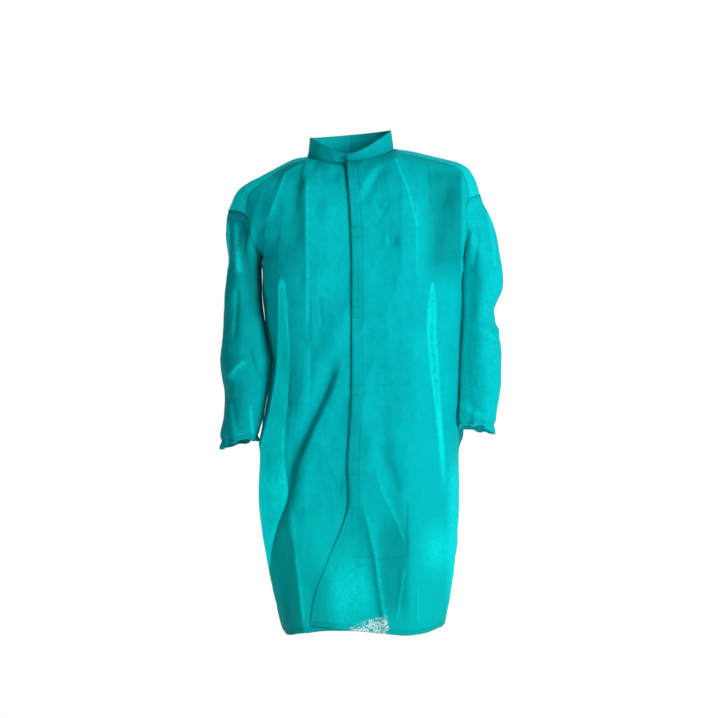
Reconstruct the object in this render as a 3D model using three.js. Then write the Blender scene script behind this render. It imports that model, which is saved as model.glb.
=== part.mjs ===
import * as THREE from "three";

// A disposable non-woven lab coat, worn shape, closed down the front.
// Millimetres. Z is up, the front faces -Y and +X is the wearer's left.
// The origin is the middle of the neck at the height where the coat rests on the shoulders.

// ---- overall sizes ----
const HEM_DROP = 1075; // shoulders down to the lowest hem
const FRONT_DEPTH = 135; // origin forward to the upright fold lines of the fronts
const BACK_DEPTH = 150; // origin back to the skirt's rearmost cloth
const CHEST_BACK = 112; // the same at the armpits
const ARMPIT_DROP = 236; // shoulders down to the armpits

// ---- cloth and clearances ----
const CLOTH = 1.6; // modelled wall; the real cloth is about 0.25 thick
const FACING = 0.8;
const PATCH = 0.8;
const LAYER_GAP = 0.35; // between two layers laid on each other
const SEAM_GAP = 0.4; // each piece stops this far short of a seam line
const COLLAR_LIFT = 1.0; // between the neck edge and the collar band
const UNDER_LAYER = 6.0; // the right front lies this far behind the left one
const ARM_CLEARANCE = 4.0; // between a hanging sleeve and the body beside it

// ---- neck and collar ----
const NECK_X = -6;
const NECK_HALF_WIDTH = 97;
const NECK_FRONT = 80;
const NECK_BACK = 75;
const NECK_DROP = 28; // the neck's front edge below its sides
const NECK_RISE = 6; // the neck's back edge above its sides
const NECK_TILT = 0.0876; // the wearer's left shoulder is the higher one
const COLLAR_HEIGHT = 43;
const COLLAR_FRONT_HEIGHT = 15;
const COLLAR_FULL_AT = .78; // how far round to the side the collar is at full height
const COLLAR_DIP = .2; // how softly its height turns at the middle of the front
const COLLAR_FRONT_LEAN = 18;
const COLLAR_UNDER_LEAN = 10.5; // the right end leans less, behind the left one
const COLLAR_UNDER_END = 7; // the right end's edge past the middle
const COLLAR_LAYER_GAP = 1.15; // the patches between its leaning ends

// ---- fronts ----
const FOLD_X = 95; // the fronts open about upright lines this far from the middle
const FOLD_NECK = 47; // degrees round the neck from its side to the fold line
const CROWN = 3; // bulge of the flat middle of the fronts
const UNDER_EDGE = 20; // edge of the right front past the middle, under the left one
const FACING_WIDTH = 30;
const PATCH_INSET = 4; // from the left front's edge to the patches
const PATCH_WIDTH = 20;
const SHORT_PATCH = 22;
const LONG_PATCH = 76;
const CLOSURE_DROPS = [188, 362, 531, 751]; // patch centres below the shoulders
const U_FOLD = 0.45; // place of the fold line across a front
const U_NECK = 0.6; // place of the neck's side point across a front

// Height and place of the left front's edge: it hangs free below the last closure.
const LEFT_EDGE = [
  [-31, -14],
  [-80, -10],
  [-150, -5],
  [-400, -2],
  [-600, -4],
  [-690, -11],
  [-790, -10],
  [-915, -55],
  [-1000, -82],
  [-1075, -92],
];

// ---- shoulders and sleeves: the points run from the neck to the tip of the shoulder ----
const LEFT_SHOULDER = [
  [91, 8],
  [160, -4],
  [245, -26],
  [272, -54],
  [286, -94],
];
const RIGHT_SHOULDER = [
  [-103, -9],
  [-148, -22],
  [-214, -57],
  [-258, -84],
  [-280, -129],
];
// Each section of a sleeve: outer x, outer z, inner x, inner z, half depth, middle y.
const LEFT_SLEEVE = [
  [286, -94, 246, -ARMPIT_DROP, 78, 0],
  [303, -135, 247, -243, 79, 0],
  [314, -180, 247, -253, 79, 0],
  [322, -229, 247, -266, 78, 0],
  [330, -275, 247, -290, 77, -1],
  [331, -306, 247, -312, 76, -2],
  [321, -337, 247, -337, 74, -4],
  [318, -362, 247, -362, 72, -5],
  [331, -421, 244, -421, 70, -9],
  [334, -455, 242, -455, 67, -11],
  [332, -511, 240, -511, 61, -16],
  [325, -551, 239, -551, 56, -20],
  [319, -590, 237, -590, 50, -24],
  [316, -612, 237, -608, 43, -26],
  [311, -630, 240, -618, 33, -28],
];
const RIGHT_SLEEVE = [
  [-280, -129, -202, -ARMPIT_DROP, 76, 0],
  [-285, -160, -204, -243, 77, 0],
  [-286, -200, -205, -253, 77, 0],
  [-282, -235, -205, -266, 76, 0],
  [-285, -276, -204, -290, 75, -1],
  [-288, -331, -203, -331, 74, -4],
  [-290, -380, -197, -380, 71, -7],
  [-296, -430, -187, -430, 68, -10],
  [-300, -466, -181, -466, 66, -13],
  [-297, -505, -185, -505, 63, -16],
  [-294, -538, -190, -538, 60, -19],
  [-295, -590, -199, -590, 54, -23],
  [-297, -625, -206, -618, 47, -26],
  [-294, -648, -209, -636, 40, -28],
  [-290, -664, -212, -646, 33, -30],
];
const ELASTIC_WIDTH = 0.55; // of the last sleeve section's height
const ELASTIC_THICK = 1.0;

// Place of the side seams below the cuffs, by the share of the way from the armpits to the hem.
const LEFT_SKIRT = [
  [0.0, 243],
  [0.42, 233],
  [0.48, 231],
  [0.56, 235],
  [0.65, 236],
  [0.79, 231],
  [0.94, 216],
  [1.0, 207],
];
const RIGHT_SKIRT = [
  [0.0, -198],
  [0.44, -197],
  [0.49, -203],
  [0.58, -211],
  [0.65, -212],
  [0.73, -205],
  [0.82, -191],
  [0.92, -173],
  [1.0, -153],
];
// How far the hem rises above HEM_DROP, by x: the left front, then the right front and the back.
const LEFT_HEM = [
  [-92, 32],
  [-13, 22],
  [20, 19],
  [69, 14],
  [115, 9],
  [158, 12],
  [205, 20],
];
const RIGHT_HEM = [
  [-155, -3],
  [-116, 13],
  [-83, 18],
  [20, 19],
  [115, 9],
  [158, 12],
  [205, 20],
];
const HEM_REACH = 4; // the rise fades up the skirt as this power of the share left

// ---- mesh fineness ----
const SKIRT_ROWS = 15;
const CHEST_ROWS = 7;
const FLAP_COLUMNS = 6;
const SIDE_COLUMNS = 9;
const BACK_COLUMNS = 18;
const SLEEVE_COLUMNS = 22;
const COLLAR_BACK_COLUMNS = 22;
const COLLAR_FRONT_COLUMNS = 8;

// ---- materials ----
function clothMaterial() {
  return new THREE.MeshStandardMaterial({ color: 0x0fa3a6, roughness: 0.85, metalness: 0 });
}

function facingMaterial() {
  return new THREE.MeshStandardMaterial({ color: 0x0c8f92, roughness: 0.85, metalness: 0 });
}

function hookMaterial() {
  return new THREE.MeshStandardMaterial({ color: 0x1d8c88, roughness: 0.6, metalness: 0 });
}

function loopMaterial() {
  return new THREE.MeshStandardMaterial({ color: 0x2a9a95, roughness: 0.95, metalness: 0 });
}

function elasticMaterial() {
  return new THREE.MeshStandardMaterial({ color: 0xe4e8e6, roughness: 0.7, metalness: 0 });
}

// ---- curves ----
const mix = (a, b, t) => a + (b - a) * t;

/** A smooth function through a table of [place, value] rows, held at its ends. */
function through(table) {
  const rows = [...table].sort((a, b) => a[0] - b[0]);
  return (place) => {
    const last = rows.length - 1;
    if (place <= rows[0][0]) return rows[0][1];
    if (place >= rows[last][0]) return rows[last][1];
    const i = rows.findIndex((row, k) => k < last && place < rows[k + 1][0]);
    const t = (place - rows[i][0]) / (rows[i + 1][0] - rows[i][0]);
    return mix(rows[i][1], rows[i + 1][1], t * t * (3 - 2 * t) * 0.5 + t * 0.5);
  };
}

/** The point at share t of a polyline of [x, z] rows, smoothed. */
function along(table, t) {
  const curve = new THREE.SplineCurve(table.map(([x, z]) => new THREE.Vector2(x, z)));
  return curve.getPoint(t);
}

const leftEdge = through(LEFT_EDGE);
const leftSkirt = through(LEFT_SKIRT);
const rightSkirt = through(RIGHT_SKIRT);
const leftHem = through(LEFT_HEM);
const rightHem = through(RIGHT_HEM);

/** The inner line of a sleeve, x by height. */
function sleeveInner(sections) {
  return through(sections.map(([, , x, z]) => [z, x]));
}

const leftInner = sleeveInner(LEFT_SLEEVE);
const rightInner = sleeveInner(RIGHT_SLEEVE);

/** A side seam's x at height z: beside the sleeve it keeps clear of it, below it follows the skirt. */
function sideSeam(side, z) {
  const share = (-ARMPIT_DROP - z) / (HEM_DROP - ARMPIT_DROP);
  const sections = side > 0 ? LEFT_SLEEVE : RIGHT_SLEEVE;
  const cuff = sections[sections.length - 1][3];
  const skirt = side > 0 ? leftSkirt(share) : rightSkirt(share);
  const beside = (side > 0 ? leftInner(z) : rightInner(z)) - side * ARM_CLEARANCE;
  const blend = THREE.MathUtils.smoothstep(cuff - z, 0, 90);
  const body = mix(beside, skirt, blend);
  return z > -ARMPIT_DROP - 1 ? (side > 0 ? leftInner(z) : rightInner(z)) : body;
}

// ---- the body's surface ----
/** The neck line, by the angle from the wearer's left side round the front. */
function neckLine(angle, under) {
  const s = Math.sin(angle);
  const front = s > 0 ? NECK_FRONT - (under ? UNDER_LAYER * s * s : 0) : NECK_BACK;
  const x = NECK_X + NECK_HALF_WIDTH * Math.cos(angle);
  const level = s > 0 ? -NECK_DROP * s ** 1.5 : NECK_RISE * -s;
  return new THREE.Vector3(x, -front * s, NECK_TILT * x + level);
}

/** The neck edge of a body panel; under the left front the right one lies a layer lower. */
function neckEdge(angle, under) {
  const point = neckLine(angle, under);
  const covered = THREE.MathUtils.smoothstep(point.x, -60, -16);
  if (under) point.z -= UNDER_LAYER * covered;
  return point;
}

/** The armhole edge: bottom at share 0, round the front (facing -1) or back (1), top at share 1. */
function armhole(side, share, facing) {
  const [ox, oz, ix, iz, depth] = (side > 0 ? LEFT_SLEEVE : RIGHT_SLEEVE)[0];
  const turn = Math.PI * share;
  const middle = new THREE.Vector3((ox + ix) / 2, 0, (oz + iz) / 2);
  const up = new THREE.Vector3((ox - ix) / 2, 0, (oz - iz) / 2);
  const out = new THREE.Vector3(-up.z, 0, up.x).normalize().multiplyScalar(-side);
  const radial = up.clone().multiplyScalar(-Math.cos(turn));
  radial.y = facing * depth * Math.sin(turn);
  const point = middle.clone().add(radial).addScaledVector(out, -SEAM_GAP);
  return { point, radial: radial.normalize(), out };
}

/** Four edge curves filled in; y bends late and z flattens at the top, as over a shoulder. */
function filled(u, t, bottom, top, start, end) {
  const rise = { x: t, y: t ** 2.2, z: Math.sin((Math.PI * t) / 2) };
  const near = [(1 - u) ** 3, u ** 3];
  const sides = [start(t), end(t)];
  const lows = [bottom(0), bottom(1), bottom(u)];
  const highs = [top(0), top(1), top(u)];
  const fill = (k) => {
    const level = [0, 1, 2].map((n) => mix(lows[n][k], highs[n][k], rise[k]));
    return level[2] + near[0] * (sides[0][k] - level[0]) + near[1] * (sides[1][k] - level[1]);
  };
  return new THREE.Vector3(fill("x"), fill("y"), fill("z"));
}

/** A front below the armpits: u runs from its edge over the fold line to the side seam. */
function frontSkirt(side, u, share) {
  const row = mix(-HEM_DROP, -ARMPIT_DROP, share);
  const depth = FRONT_DEPTH - (side > 0 ? 0 : UNDER_LAYER);
  const edge = side > 0 ? leftEdge(row) : UNDER_EDGE;
  const fold = side * FOLD_X;
  const turn = (Math.max(0, u - U_FOLD) / (1 - U_FOLD)) * (Math.PI / 2);
  const flat = mix(edge, fold, u / U_FOLD);
  const x = u < U_FOLD ? flat : fold + (sideSeam(side, row) - fold) * Math.sin(turn);
  const crown = u < U_FOLD ? CROWN * (1 - (x / FOLD_X) ** 2) : 0;
  const rise = side > 0 ? leftHem(x) : rightHem(x);
  const z = row + rise * (1 - share) ** HEM_REACH;
  return new THREE.Vector3(x, -(depth * Math.cos(turn) + crown), z);
}

/** The share of the way from a front's edge to its fold line, as an angle round the neck. */
function neckAngle(side, u) {
  const edge = Math.acos((side > 0 ? -8 : 18) / NECK_HALF_WIDTH);
  const fold = side > 0 ? (FOLD_NECK * Math.PI) / 180 : Math.PI - (FOLD_NECK * Math.PI) / 180;
  if (u < U_FOLD) return mix(edge, fold, u / U_FOLD);
  return mix(fold, side > 0 ? 0 : Math.PI, (u - U_FOLD) / (U_NECK - U_FOLD));
}

/** The top edge of a front: the neck, then the shoulder. */
function frontTop(side, u) {
  if (u <= U_NECK) return neckEdge(neckAngle(side, u), side < 0);
  const at = along(side > 0 ? LEFT_SHOULDER : RIGHT_SHOULDER, (u - U_NECK) / (1 - U_NECK));
  return new THREE.Vector3(at.x, 0, at.y);
}

/** A front from hem (t 0) over the armpits (t 1) to its top edge (t 2). */
function frontPoint(side, u, t) {
  if (t <= 1) return frontSkirt(side, u, t);
  const edge = (s) => {
    const low = frontSkirt(side, 0, 1);
    const high = frontTop(side, 0);
    const z = mix(low.z, high.z, Math.sin((Math.PI * s) / 2));
    const x = side > 0 ? leftEdge(z) : mix(low.x, high.x, s);
    return new THREE.Vector3(x, mix(low.y, high.y, s ** 2.2), z);
  };
  return filled(
    u,
    t - 1,
    (v) => frontSkirt(side, v, 1),
    (v) => frontTop(side, v),
    edge,
    (s) => armhole(side, s, -1).point,
  );
}

/** The back below the armpits: u runs from the right side seam to the left one. */
function backSkirt(u, share) {
  const row = mix(-HEM_DROP, -ARMPIT_DROP, share);
  const left = sideSeam(1, row);
  const right = sideSeam(-1, row);
  const turn = Math.PI * (1 - u);
  const c = Math.cos(turn);
  const x = (left + right) / 2 + ((left - right) / 2) * Math.sign(c) * Math.abs(c) ** 0.9;
  const depth = mix(BACK_DEPTH, CHEST_BACK, share ** 1.5);
  const z = row + rightHem(x) * (1 - share) ** HEM_REACH;
  return new THREE.Vector3(x, depth * Math.sin(turn) ** 0.85, z);
}

/** The top edge of the back: right shoulder, neck, left shoulder. */
function backTop(u) {
  const left = u > 0.5;
  const outer = left ? (u - 0.7) / 0.3 : (0.3 - u) / 0.3;
  if (outer < 0) return neckEdge(Math.PI + ((u - 0.3) / 0.4) * Math.PI, false);
  const at = along(left ? LEFT_SHOULDER : RIGHT_SHOULDER, outer);
  return new THREE.Vector3(at.x, 0, at.y);
}

function backPoint(u, t) {
  if (t <= 1) return backSkirt(u, t);
  return filled(
    u,
    t - 1,
    (v) => backSkirt(v, 1),
    backTop,
    (s) => armhole(-1, s, 1).point,
    (s) => armhole(1, s, 1).point,
  );
}

/** The way out of the cloth at a place on a body panel; seam edges have a set way. */
function outOf(point, u, t, edges) {
  if (t > 1 - 1e-6 && edges.armholes.includes(u)) {
    const side = edges.side ?? (u > 0.5 ? 1 : -1);
    return armhole(side, Math.max(0, t - 1), edges.facing).radial;
  }
  if (t > 2 - 1e-6) return new THREE.Vector3(0, 0, 1);
  if (edges.armholes.includes(u)) {
    const side = edges.side ?? (u > 0.5 ? 1 : -1);
    return new THREE.Vector3(side, 0, 0);
  }
  const d = 1e-3;
  const across = point(u + d, t).sub(point(Math.max(0, u - d), t));
  const up = point(u, Math.min(2, t + d)).sub(point(u, Math.max(0, t - d)));
  const way = across.cross(up).normalize();
  const inside = new THREE.Vector3(20, 0, point(u, t).z - 40);
  return way.dot(point(u, t).sub(inside)) < 0 ? way.negate() : way;
}

// ---- solids ----
/** Closes rows of outer and inner points into one solid; `ring` joins each row's ends. */
function closed(outer, inner, ring) {
  const rows = outer.length;
  const columns = outer[0].length;
  const flat = [...outer.flat(), ...inner.flat()];
  const at = (layer, r, c) => layer * rows * columns + r * columns + (c % columns);
  const faces = [];
  const quad = (a, b, c, d) => faces.push(a, b, c, a, c, d);
  const spans = ring ? columns : columns - 1;
  for (let r = 0; r + 1 < rows; r += 1) {
    for (let c = 0; c < spans; c += 1) {
      quad(at(0, r, c), at(0, r, c + 1), at(0, r + 1, c + 1), at(0, r + 1, c));
      quad(at(1, r, c), at(1, r + 1, c), at(1, r + 1, c + 1), at(1, r, c + 1));
    }
  }
  for (let c = 0; c < spans; c += 1) {
    const top = rows - 1;
    quad(at(1, 0, c), at(1, 0, c + 1), at(0, 0, c + 1), at(0, 0, c));
    quad(at(0, top, c), at(0, top, c + 1), at(1, top, c + 1), at(1, top, c));
  }
  for (let r = 0; r + 1 < rows && !ring; r += 1) {
    const end = columns - 1;
    quad(at(0, r, 0), at(0, r + 1, 0), at(1, r + 1, 0), at(1, r, 0));
    quad(at(1, r, end), at(1, r + 1, end), at(0, r + 1, end), at(0, r, end));
  }
  const volume = faces.reduce((sum, _, k) => {
    if (k % 3) return sum;
    const [a, b, c] = [0, 1, 2].map((n) => flat[faces[k + n]]);
    return sum + a.dot(b.clone().cross(c));
  }, 0);
  const index = volume < 0 ? faces.reverse() : faces;
  const geometry = new THREE.BufferGeometry();
  const positions = flat.flatMap((p) => [p.x, p.y, p.z]);
  geometry.setAttribute("position", new THREE.Float32BufferAttribute(positions, 3));
  geometry.setIndex(index);
  geometry.computeVertexNormals();
  return geometry;
}

const span = (from, to, count) =>
  Array.from({ length: count + 1 }, (_, k) => mix(from, to, k / count));

/** A layer of a body panel: `depth` below its surface, `thick` thick, inset at fold lines. */
function panelLayer(point, edges, us, ts, depth, thick, inset) {
  const outer = [];
  const inner = [];
  for (const t of ts) {
    const columns = typeof us === "function" ? us(t) : us;
    const placed = columns.map((u, k) => {
      const p = point(u, t);
      const away = outOf(point, u, t, edges);
      const shift = k === 0 ? inset[0] : k === columns.length - 1 ? inset[1] : 0;
      const run = point(u + 1e-3, t).sub(point(u, t)).normalize();
      if (shift) p.addScaledVector(run, shift);
      p.y = edges.facing < 0 ? Math.min(p.y, -SEAM_GAP) : Math.max(p.y, SEAM_GAP);
      return { p, away };
    });
    outer.push(placed.map(({ p, away }) => p.clone().addScaledVector(away, -depth)));
    inner.push(placed.map(({ p, away }) => p.clone().addScaledVector(away, -depth - thick)));
  }
  return closed(outer, inner, false);
}

const BODY_LEVELS = [...span(0, 1, SKIRT_ROWS), ...span(1, 2, CHEST_ROWS).slice(1)];

function frontEdges(side) {
  return { side, facing: -1, armholes: [1] };
}

function frontSurface(side) {
  return (u, t) => frontPoint(side, u, t);
}

/** The part of a front between its free edge and the fold line. */
function frontFlap(side) {
  const us = span(0, U_FOLD, FLAP_COLUMNS);
  return panelLayer(frontSurface(side), frontEdges(side), us, BODY_LEVELS, 0, CLOTH, [0, -SEAM_GAP]);
}

/** The part of a front between the fold line and the side seam. */
function frontSide(side) {
  const us = span(U_FOLD, 1, SIDE_COLUMNS);
  return panelLayer(frontSurface(side), frontEdges(side), us, BODY_LEVELS, 0, CLOTH, [SEAM_GAP, 0]);
}

function backPanel() {
  const edges = { facing: 1, armholes: [0, 1] };
  return panelLayer(backPoint, edges, span(0, 1, BACK_COLUMNS), BODY_LEVELS, 0, CLOTH, [0, 0]);
}

/** The share across a front of a place `distance` in from its edge. */
function inFromEdge(side, t, distance) {
  const edge = frontPoint(side, 0, t);
  const fold = frontPoint(side, U_FOLD, t);
  return (U_FOLD * distance) / edge.distanceTo(fold);
}

/** The strip folded behind a front's edge. */
function facing(side) {
  const us = (t) => span(0, inFromEdge(side, t, FACING_WIDTH), 2);
  const depth = CLOTH + LAYER_GAP;
  return panelLayer(frontSurface(side), frontEdges(side), us, BODY_LEVELS, depth, FACING, [0, 0]);
}

/** A front's surface as its rows of facets have it, for what lies against it between two rows. */
function facetedSurface(side) {
  return (u, t) => {
    const k = Math.max(1, BODY_LEVELS.findIndex((level) => level >= t));
    const share = (t - BODY_LEVELS[k - 1]) / (BODY_LEVELS[k] - BODY_LEVELS[k - 1]);
    return frontPoint(side, u, BODY_LEVELS[k - 1]).lerp(frontPoint(side, u, BODY_LEVELS[k]), share);
  };
}

/** The level t of a height on the fronts' edges. */
function levelOf(z) {
  const share = (z + HEM_DROP) / (HEM_DROP - ARMPIT_DROP);
  if (share < 1) return share;
  const top = frontTop(1, 0).z;
  return 1 + (2 / Math.PI) * Math.asin((z + ARMPIT_DROP) / (top + ARMPIT_DROP));
}

/** One touch-and-close patch; the hook half is behind the left front, the loop half on the right. */
function frontPatch(side, drop, height) {
  const levels = span(levelOf(-drop - height / 2), levelOf(-drop + height / 2), 2);
  const us = (t) => {
    const from = side > 0 ? PATCH_INSET : UNDER_EDGE - leftEdge(-drop) - PATCH_INSET - PATCH_WIDTH;
    return [from, from + PATCH_WIDTH].map((distance) => inFromEdge(side, t, distance));
  };
  const depth = side > 0 ? CLOTH + FACING + 2 * LAYER_GAP : -LAYER_GAP - PATCH;
  return panelLayer(facetedSurface(side), frontEdges(side), us, levels, depth, PATCH, [0, 0]);
}

/** The collar's surface: v 0 at the neck, 1 at its top edge; the front leans out and is low. */
function collarPoint(angle, v, under) {
  const base = neckLine(angle, under);
  const frontness = Math.max(0, Math.sin(angle)) ** 2;
  const out = new THREE.Vector3(Math.cos(angle), -Math.sin(angle), 0);
  const lean = mix(-5, under ? COLLAR_UNDER_LEAN : COLLAR_FRONT_LEAN, frontness);
  const round = Math.hypot(Math.cos(angle), COLLAR_DIP) - COLLAR_DIP;
  const aside = Math.min(1, round / COLLAR_FULL_AT);
  const fullness = Math.sin(angle) > 0 ? Math.sin((aside * Math.PI) / 2) : 1;
  const height = mix(COLLAR_FRONT_HEIGHT, COLLAR_HEIGHT, fullness);
  base.addScaledVector(out, lean * v);
  base.z += COLLAR_LIFT + height * v;
  return { p: base, out };
}

/** A layer of the collar band between two angles and two heights on the band. */
function collarLayer(from, to, columns, low, high, depth, thick, under) {
  const outer = [];
  const inner = [];
  for (const v of span(low, high, 3)) {
    const placed = span(from, to, columns).map((angle) => collarPoint(angle, v, under));
    outer.push(placed.map(({ p, out }) => p.clone().addScaledVector(out, -depth)));
    inner.push(placed.map(({ p, out }) => p.clone().addScaledVector(out, -depth - thick)));
  }
  return closed(outer, inner, false);
}

function collarFront(side) {
  const gap = (side * SEAM_GAP) / NECK_HALF_WIDTH;
  const under = Math.acos((COLLAR_UNDER_END - NECK_X) / NECK_HALF_WIDTH);
  const from = side > 0 ? neckAngle(side, 0) : under;
  const to = neckAngle(side, U_FOLD) + gap;
  return collarLayer(from, to, COLLAR_FRONT_COLUMNS, 0, 1, 0, CLOTH, side < 0);
}

function collarBack() {
  const gap = SEAM_GAP / NECK_HALF_WIDTH;
  const from = neckAngle(-1, U_FOLD) + gap;
  const to = neckAngle(1, U_FOLD) - gap + 2 * Math.PI;
  const outer = [];
  const inner = [];
  for (const v of span(0, 1, 3)) {
    const placed = span(from, to, COLLAR_BACK_COLUMNS).map((angle) => {
      return collarPoint(angle, v, angle < Math.PI);
    });
    outer.push(placed.map(({ p }) => p));
    inner.push(placed.map(({ p, out }) => p.clone().addScaledVector(out, -CLOTH)));
  }
  return closed(outer, inner, false);
}

/** The closure on the collar's overlapping ends. */
function collarPatch(side) {
  const reach = 7 / NECK_HALF_WIDTH;
  const middle = Math.acos(5 / NECK_HALF_WIDTH);
  const depth = side > 0 ? CLOTH + COLLAR_LAYER_GAP : -COLLAR_LAYER_GAP - PATCH;
  return collarLayer(middle - reach, middle + reach, 2, 0.25, 0.85, depth, PATCH, side < 0);
}

/** Points round a sleeve at section place s (a share of the list), `depth` inside its surface. */
function sleeveRing(sections, s, depth, columns) {
  const place = s * (sections.length - 1);
  const k = Math.min(Math.floor(place), sections.length - 2);
  const row = sections[k].map((value, n) => mix(value, sections[k + 1][n], place - k));
  const [ox, oz, ix, iz, half, y] = row;
  const reach = new THREE.Vector3((ox - ix) / 2, 0, (oz - iz) / 2);
  const length = reach.length();
  reach.multiplyScalar((length - depth) / length);
  return Array.from({ length: columns }, (_, c) => {
    const turn = (2 * Math.PI * c) / columns;
    const p = new THREE.Vector3((ox + ix) / 2, y - (half - depth) * Math.sin(turn), (oz + iz) / 2);
    return p.addScaledVector(reach, Math.cos(turn));
  });
}

function sleeveLayer(side, places, depth, thick) {
  const sections = side > 0 ? LEFT_SLEEVE : RIGHT_SLEEVE;
  const out = armhole(side, 0, -1).out;
  const rings = (inset) =>
    places.map((s) => {
      const ring = sleeveRing(sections, s, inset, SLEEVE_COLUMNS);
      return s > 0 ? ring : ring.map((p) => p.addScaledVector(out, SEAM_GAP));
    });
  return closed(rings(depth), rings(depth + thick), true);
}

function sleeve(side) {
  return sleeveLayer(side, span(0, 1, LEFT_SLEEVE.length - 1), 0, CLOTH);
}

/** The elastic drawn round the inside of the sleeve's end. */
function cuffElastic(side) {
  const last = LEFT_SLEEVE.length - 1;
  const places = [last - 0.15 - ELASTIC_WIDTH, last - 0.15].map((place) => place / last);
  return sleeveLayer(side, places, CLOTH + LAYER_GAP, ELASTIC_THICK);
}

// ---- the coat ----
const coat = new THREE.Group();
coat.name = "lab_coat";

function add(name, geometry, material) {
  const mesh = new THREE.Mesh(geometry, material);
  mesh.name = name;
  coat.add(mesh);
}

add("back_panel", backPanel(), clothMaterial());
add("collar_back", collarBack(), clothMaterial());
for (const [word, side] of [
  ["left", 1],
  ["right", -1],
]) {
  add(`${word}_front_side`, frontSide(side), clothMaterial());
  add(`${word}_front_flap`, frontFlap(side), clothMaterial());
  add(`${word}_facing`, facing(side), facingMaterial());
  add(`${word}_collar_end`, collarFront(side), clothMaterial());
  add(`${word}_sleeve`, sleeve(side), clothMaterial());
  add(`${word}_cuff_elastic`, cuffElastic(side), elasticMaterial());
  const kind = side > 0 ? "hook" : "loop";
  const patchMaterial = side > 0 ? hookMaterial : loopMaterial;
  add(`${kind}_patch_1`, collarPatch(side), patchMaterial());
  CLOSURE_DROPS.forEach((drop, k) => {
    const height = k === CLOSURE_DROPS.length - 1 ? LONG_PATCH : SHORT_PATCH;
    add(`${kind}_patch_${k + 2}`, frontPatch(side, drop, height), patchMaterial());
  });
}

export default coat;
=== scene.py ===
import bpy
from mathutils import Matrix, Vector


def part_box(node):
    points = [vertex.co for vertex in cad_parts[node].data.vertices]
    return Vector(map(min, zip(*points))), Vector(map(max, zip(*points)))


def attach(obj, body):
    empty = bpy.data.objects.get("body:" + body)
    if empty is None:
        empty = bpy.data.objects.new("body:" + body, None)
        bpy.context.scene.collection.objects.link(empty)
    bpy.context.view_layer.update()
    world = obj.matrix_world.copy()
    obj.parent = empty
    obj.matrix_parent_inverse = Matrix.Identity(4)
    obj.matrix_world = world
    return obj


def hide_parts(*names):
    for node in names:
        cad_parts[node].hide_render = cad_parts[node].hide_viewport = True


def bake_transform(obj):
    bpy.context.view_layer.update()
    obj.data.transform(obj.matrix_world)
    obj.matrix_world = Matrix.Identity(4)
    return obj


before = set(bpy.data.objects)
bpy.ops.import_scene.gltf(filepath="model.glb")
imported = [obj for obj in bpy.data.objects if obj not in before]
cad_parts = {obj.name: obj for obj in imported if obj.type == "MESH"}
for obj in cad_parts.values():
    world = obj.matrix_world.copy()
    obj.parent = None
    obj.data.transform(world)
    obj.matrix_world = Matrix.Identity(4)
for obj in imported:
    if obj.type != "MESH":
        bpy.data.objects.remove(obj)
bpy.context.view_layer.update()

import bpy
import numpy as np

# ---- the cloth ----
# Spun-bond polypropylene, about 35 g a square metre: a matt, cloudy web of fine fibres pressed
# together at small points. It is thin enough to let part of the light through.


class Value:
    """A shader value that takes part in Python arithmetic; node() makes any other node."""

    def __init__(self, tree, socket=None):
        self.tree = tree
        self.socket = socket

    def node(self, kind, settings=None, output=0, values=None):
        made = self.tree.nodes.new(kind)
        for key, value in (settings or {}).items():
            setattr(made, key, value)
        for key, value in (values or {}).items():
            if isinstance(value, Value):
                self.tree.links.new(value.socket, made.inputs[key])
            else:
                made.inputs[key].default_value = value
        return Value(self.tree, made.outputs[output])

    def maths(self, operation, *others):
        values = dict(enumerate((self, *others)))
        return self.node("ShaderNodeMath", {"operation": operation}, 0, values)

    def __add__(self, other):
        return self.maths("ADD", other)

    __radd__ = __add__

    def __sub__(self, other):
        return self.maths("SUBTRACT", other)

    def __rsub__(self, other):
        return self * -1.0 + other

    def __mul__(self, other):
        return self.maths("MULTIPLY", other)

    __rmul__ = __mul__

    def sine(self):
        return self.maths("SINE")

    def clip(self):
        return self.maths("MAXIMUM", 0.0).maths("MINIMUM", 1.0)

    def ramp(self, start, end):
        """0 below start, 1 above end, smooth between."""
        values = {0: self, 1: start, 2: end, 3: 0.0, 4: 1.0}
        return self.node("ShaderNodeMapRange", {"interpolation_type": "SMOOTHSTEP"}, 0, values)

    def blend(self, first, second):
        """A colour from first to second by this value."""
        values = {0: self, 6: first, 7: second}
        return self.node("ShaderNodeMix", {"data_type": "RGBA"}, 2, values)

    def noise(self, place, scale, detail=4.0, roughness=0.6):
        values = {"Vector": place, "Scale": scale, "Detail": detail, "Roughness": roughness}
        return self.node("ShaderNodeTexNoise", None, 0, values)


def new_material(name):
    material = bpy.data.materials.new(name)
    material.use_nodes = True
    tree = material.node_tree
    return material, tree, tree.nodes["Principled BSDF"], Value(tree)


TEAL = (0.0, 0.560, 0.600, 1)
TEAL_CLOUD = (0.0, 0.440, 0.470, 1)
TEAL_LOW = (0.0, 0.535, 0.520, 1)  # painted light: greener towards the hem, as if lit from a warm floor
# TEAL_DIM is the colour of painted shade and of a few dark seam lines.
TEAL_DIM = (0.0, 0.225, 0.235, 1)
# TEAL_BRIGHT is the colour of painted light shining through the cloth.
TEAL_BRIGHT = (0.008, 0.930, 0.940, 1)
TEAL_THROUGH = (0.0, 0.900, 0.900, 1)
TEAL_LIT = (0.0, 0.760, 0.760, 1)  # what bright light behind adds where one layer hangs alone
FIBRE_WHITE = (0.78, 0.96, 0.94, 1)
THROUGH = 0.24  # the share of the light that goes on through the cloth

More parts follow.
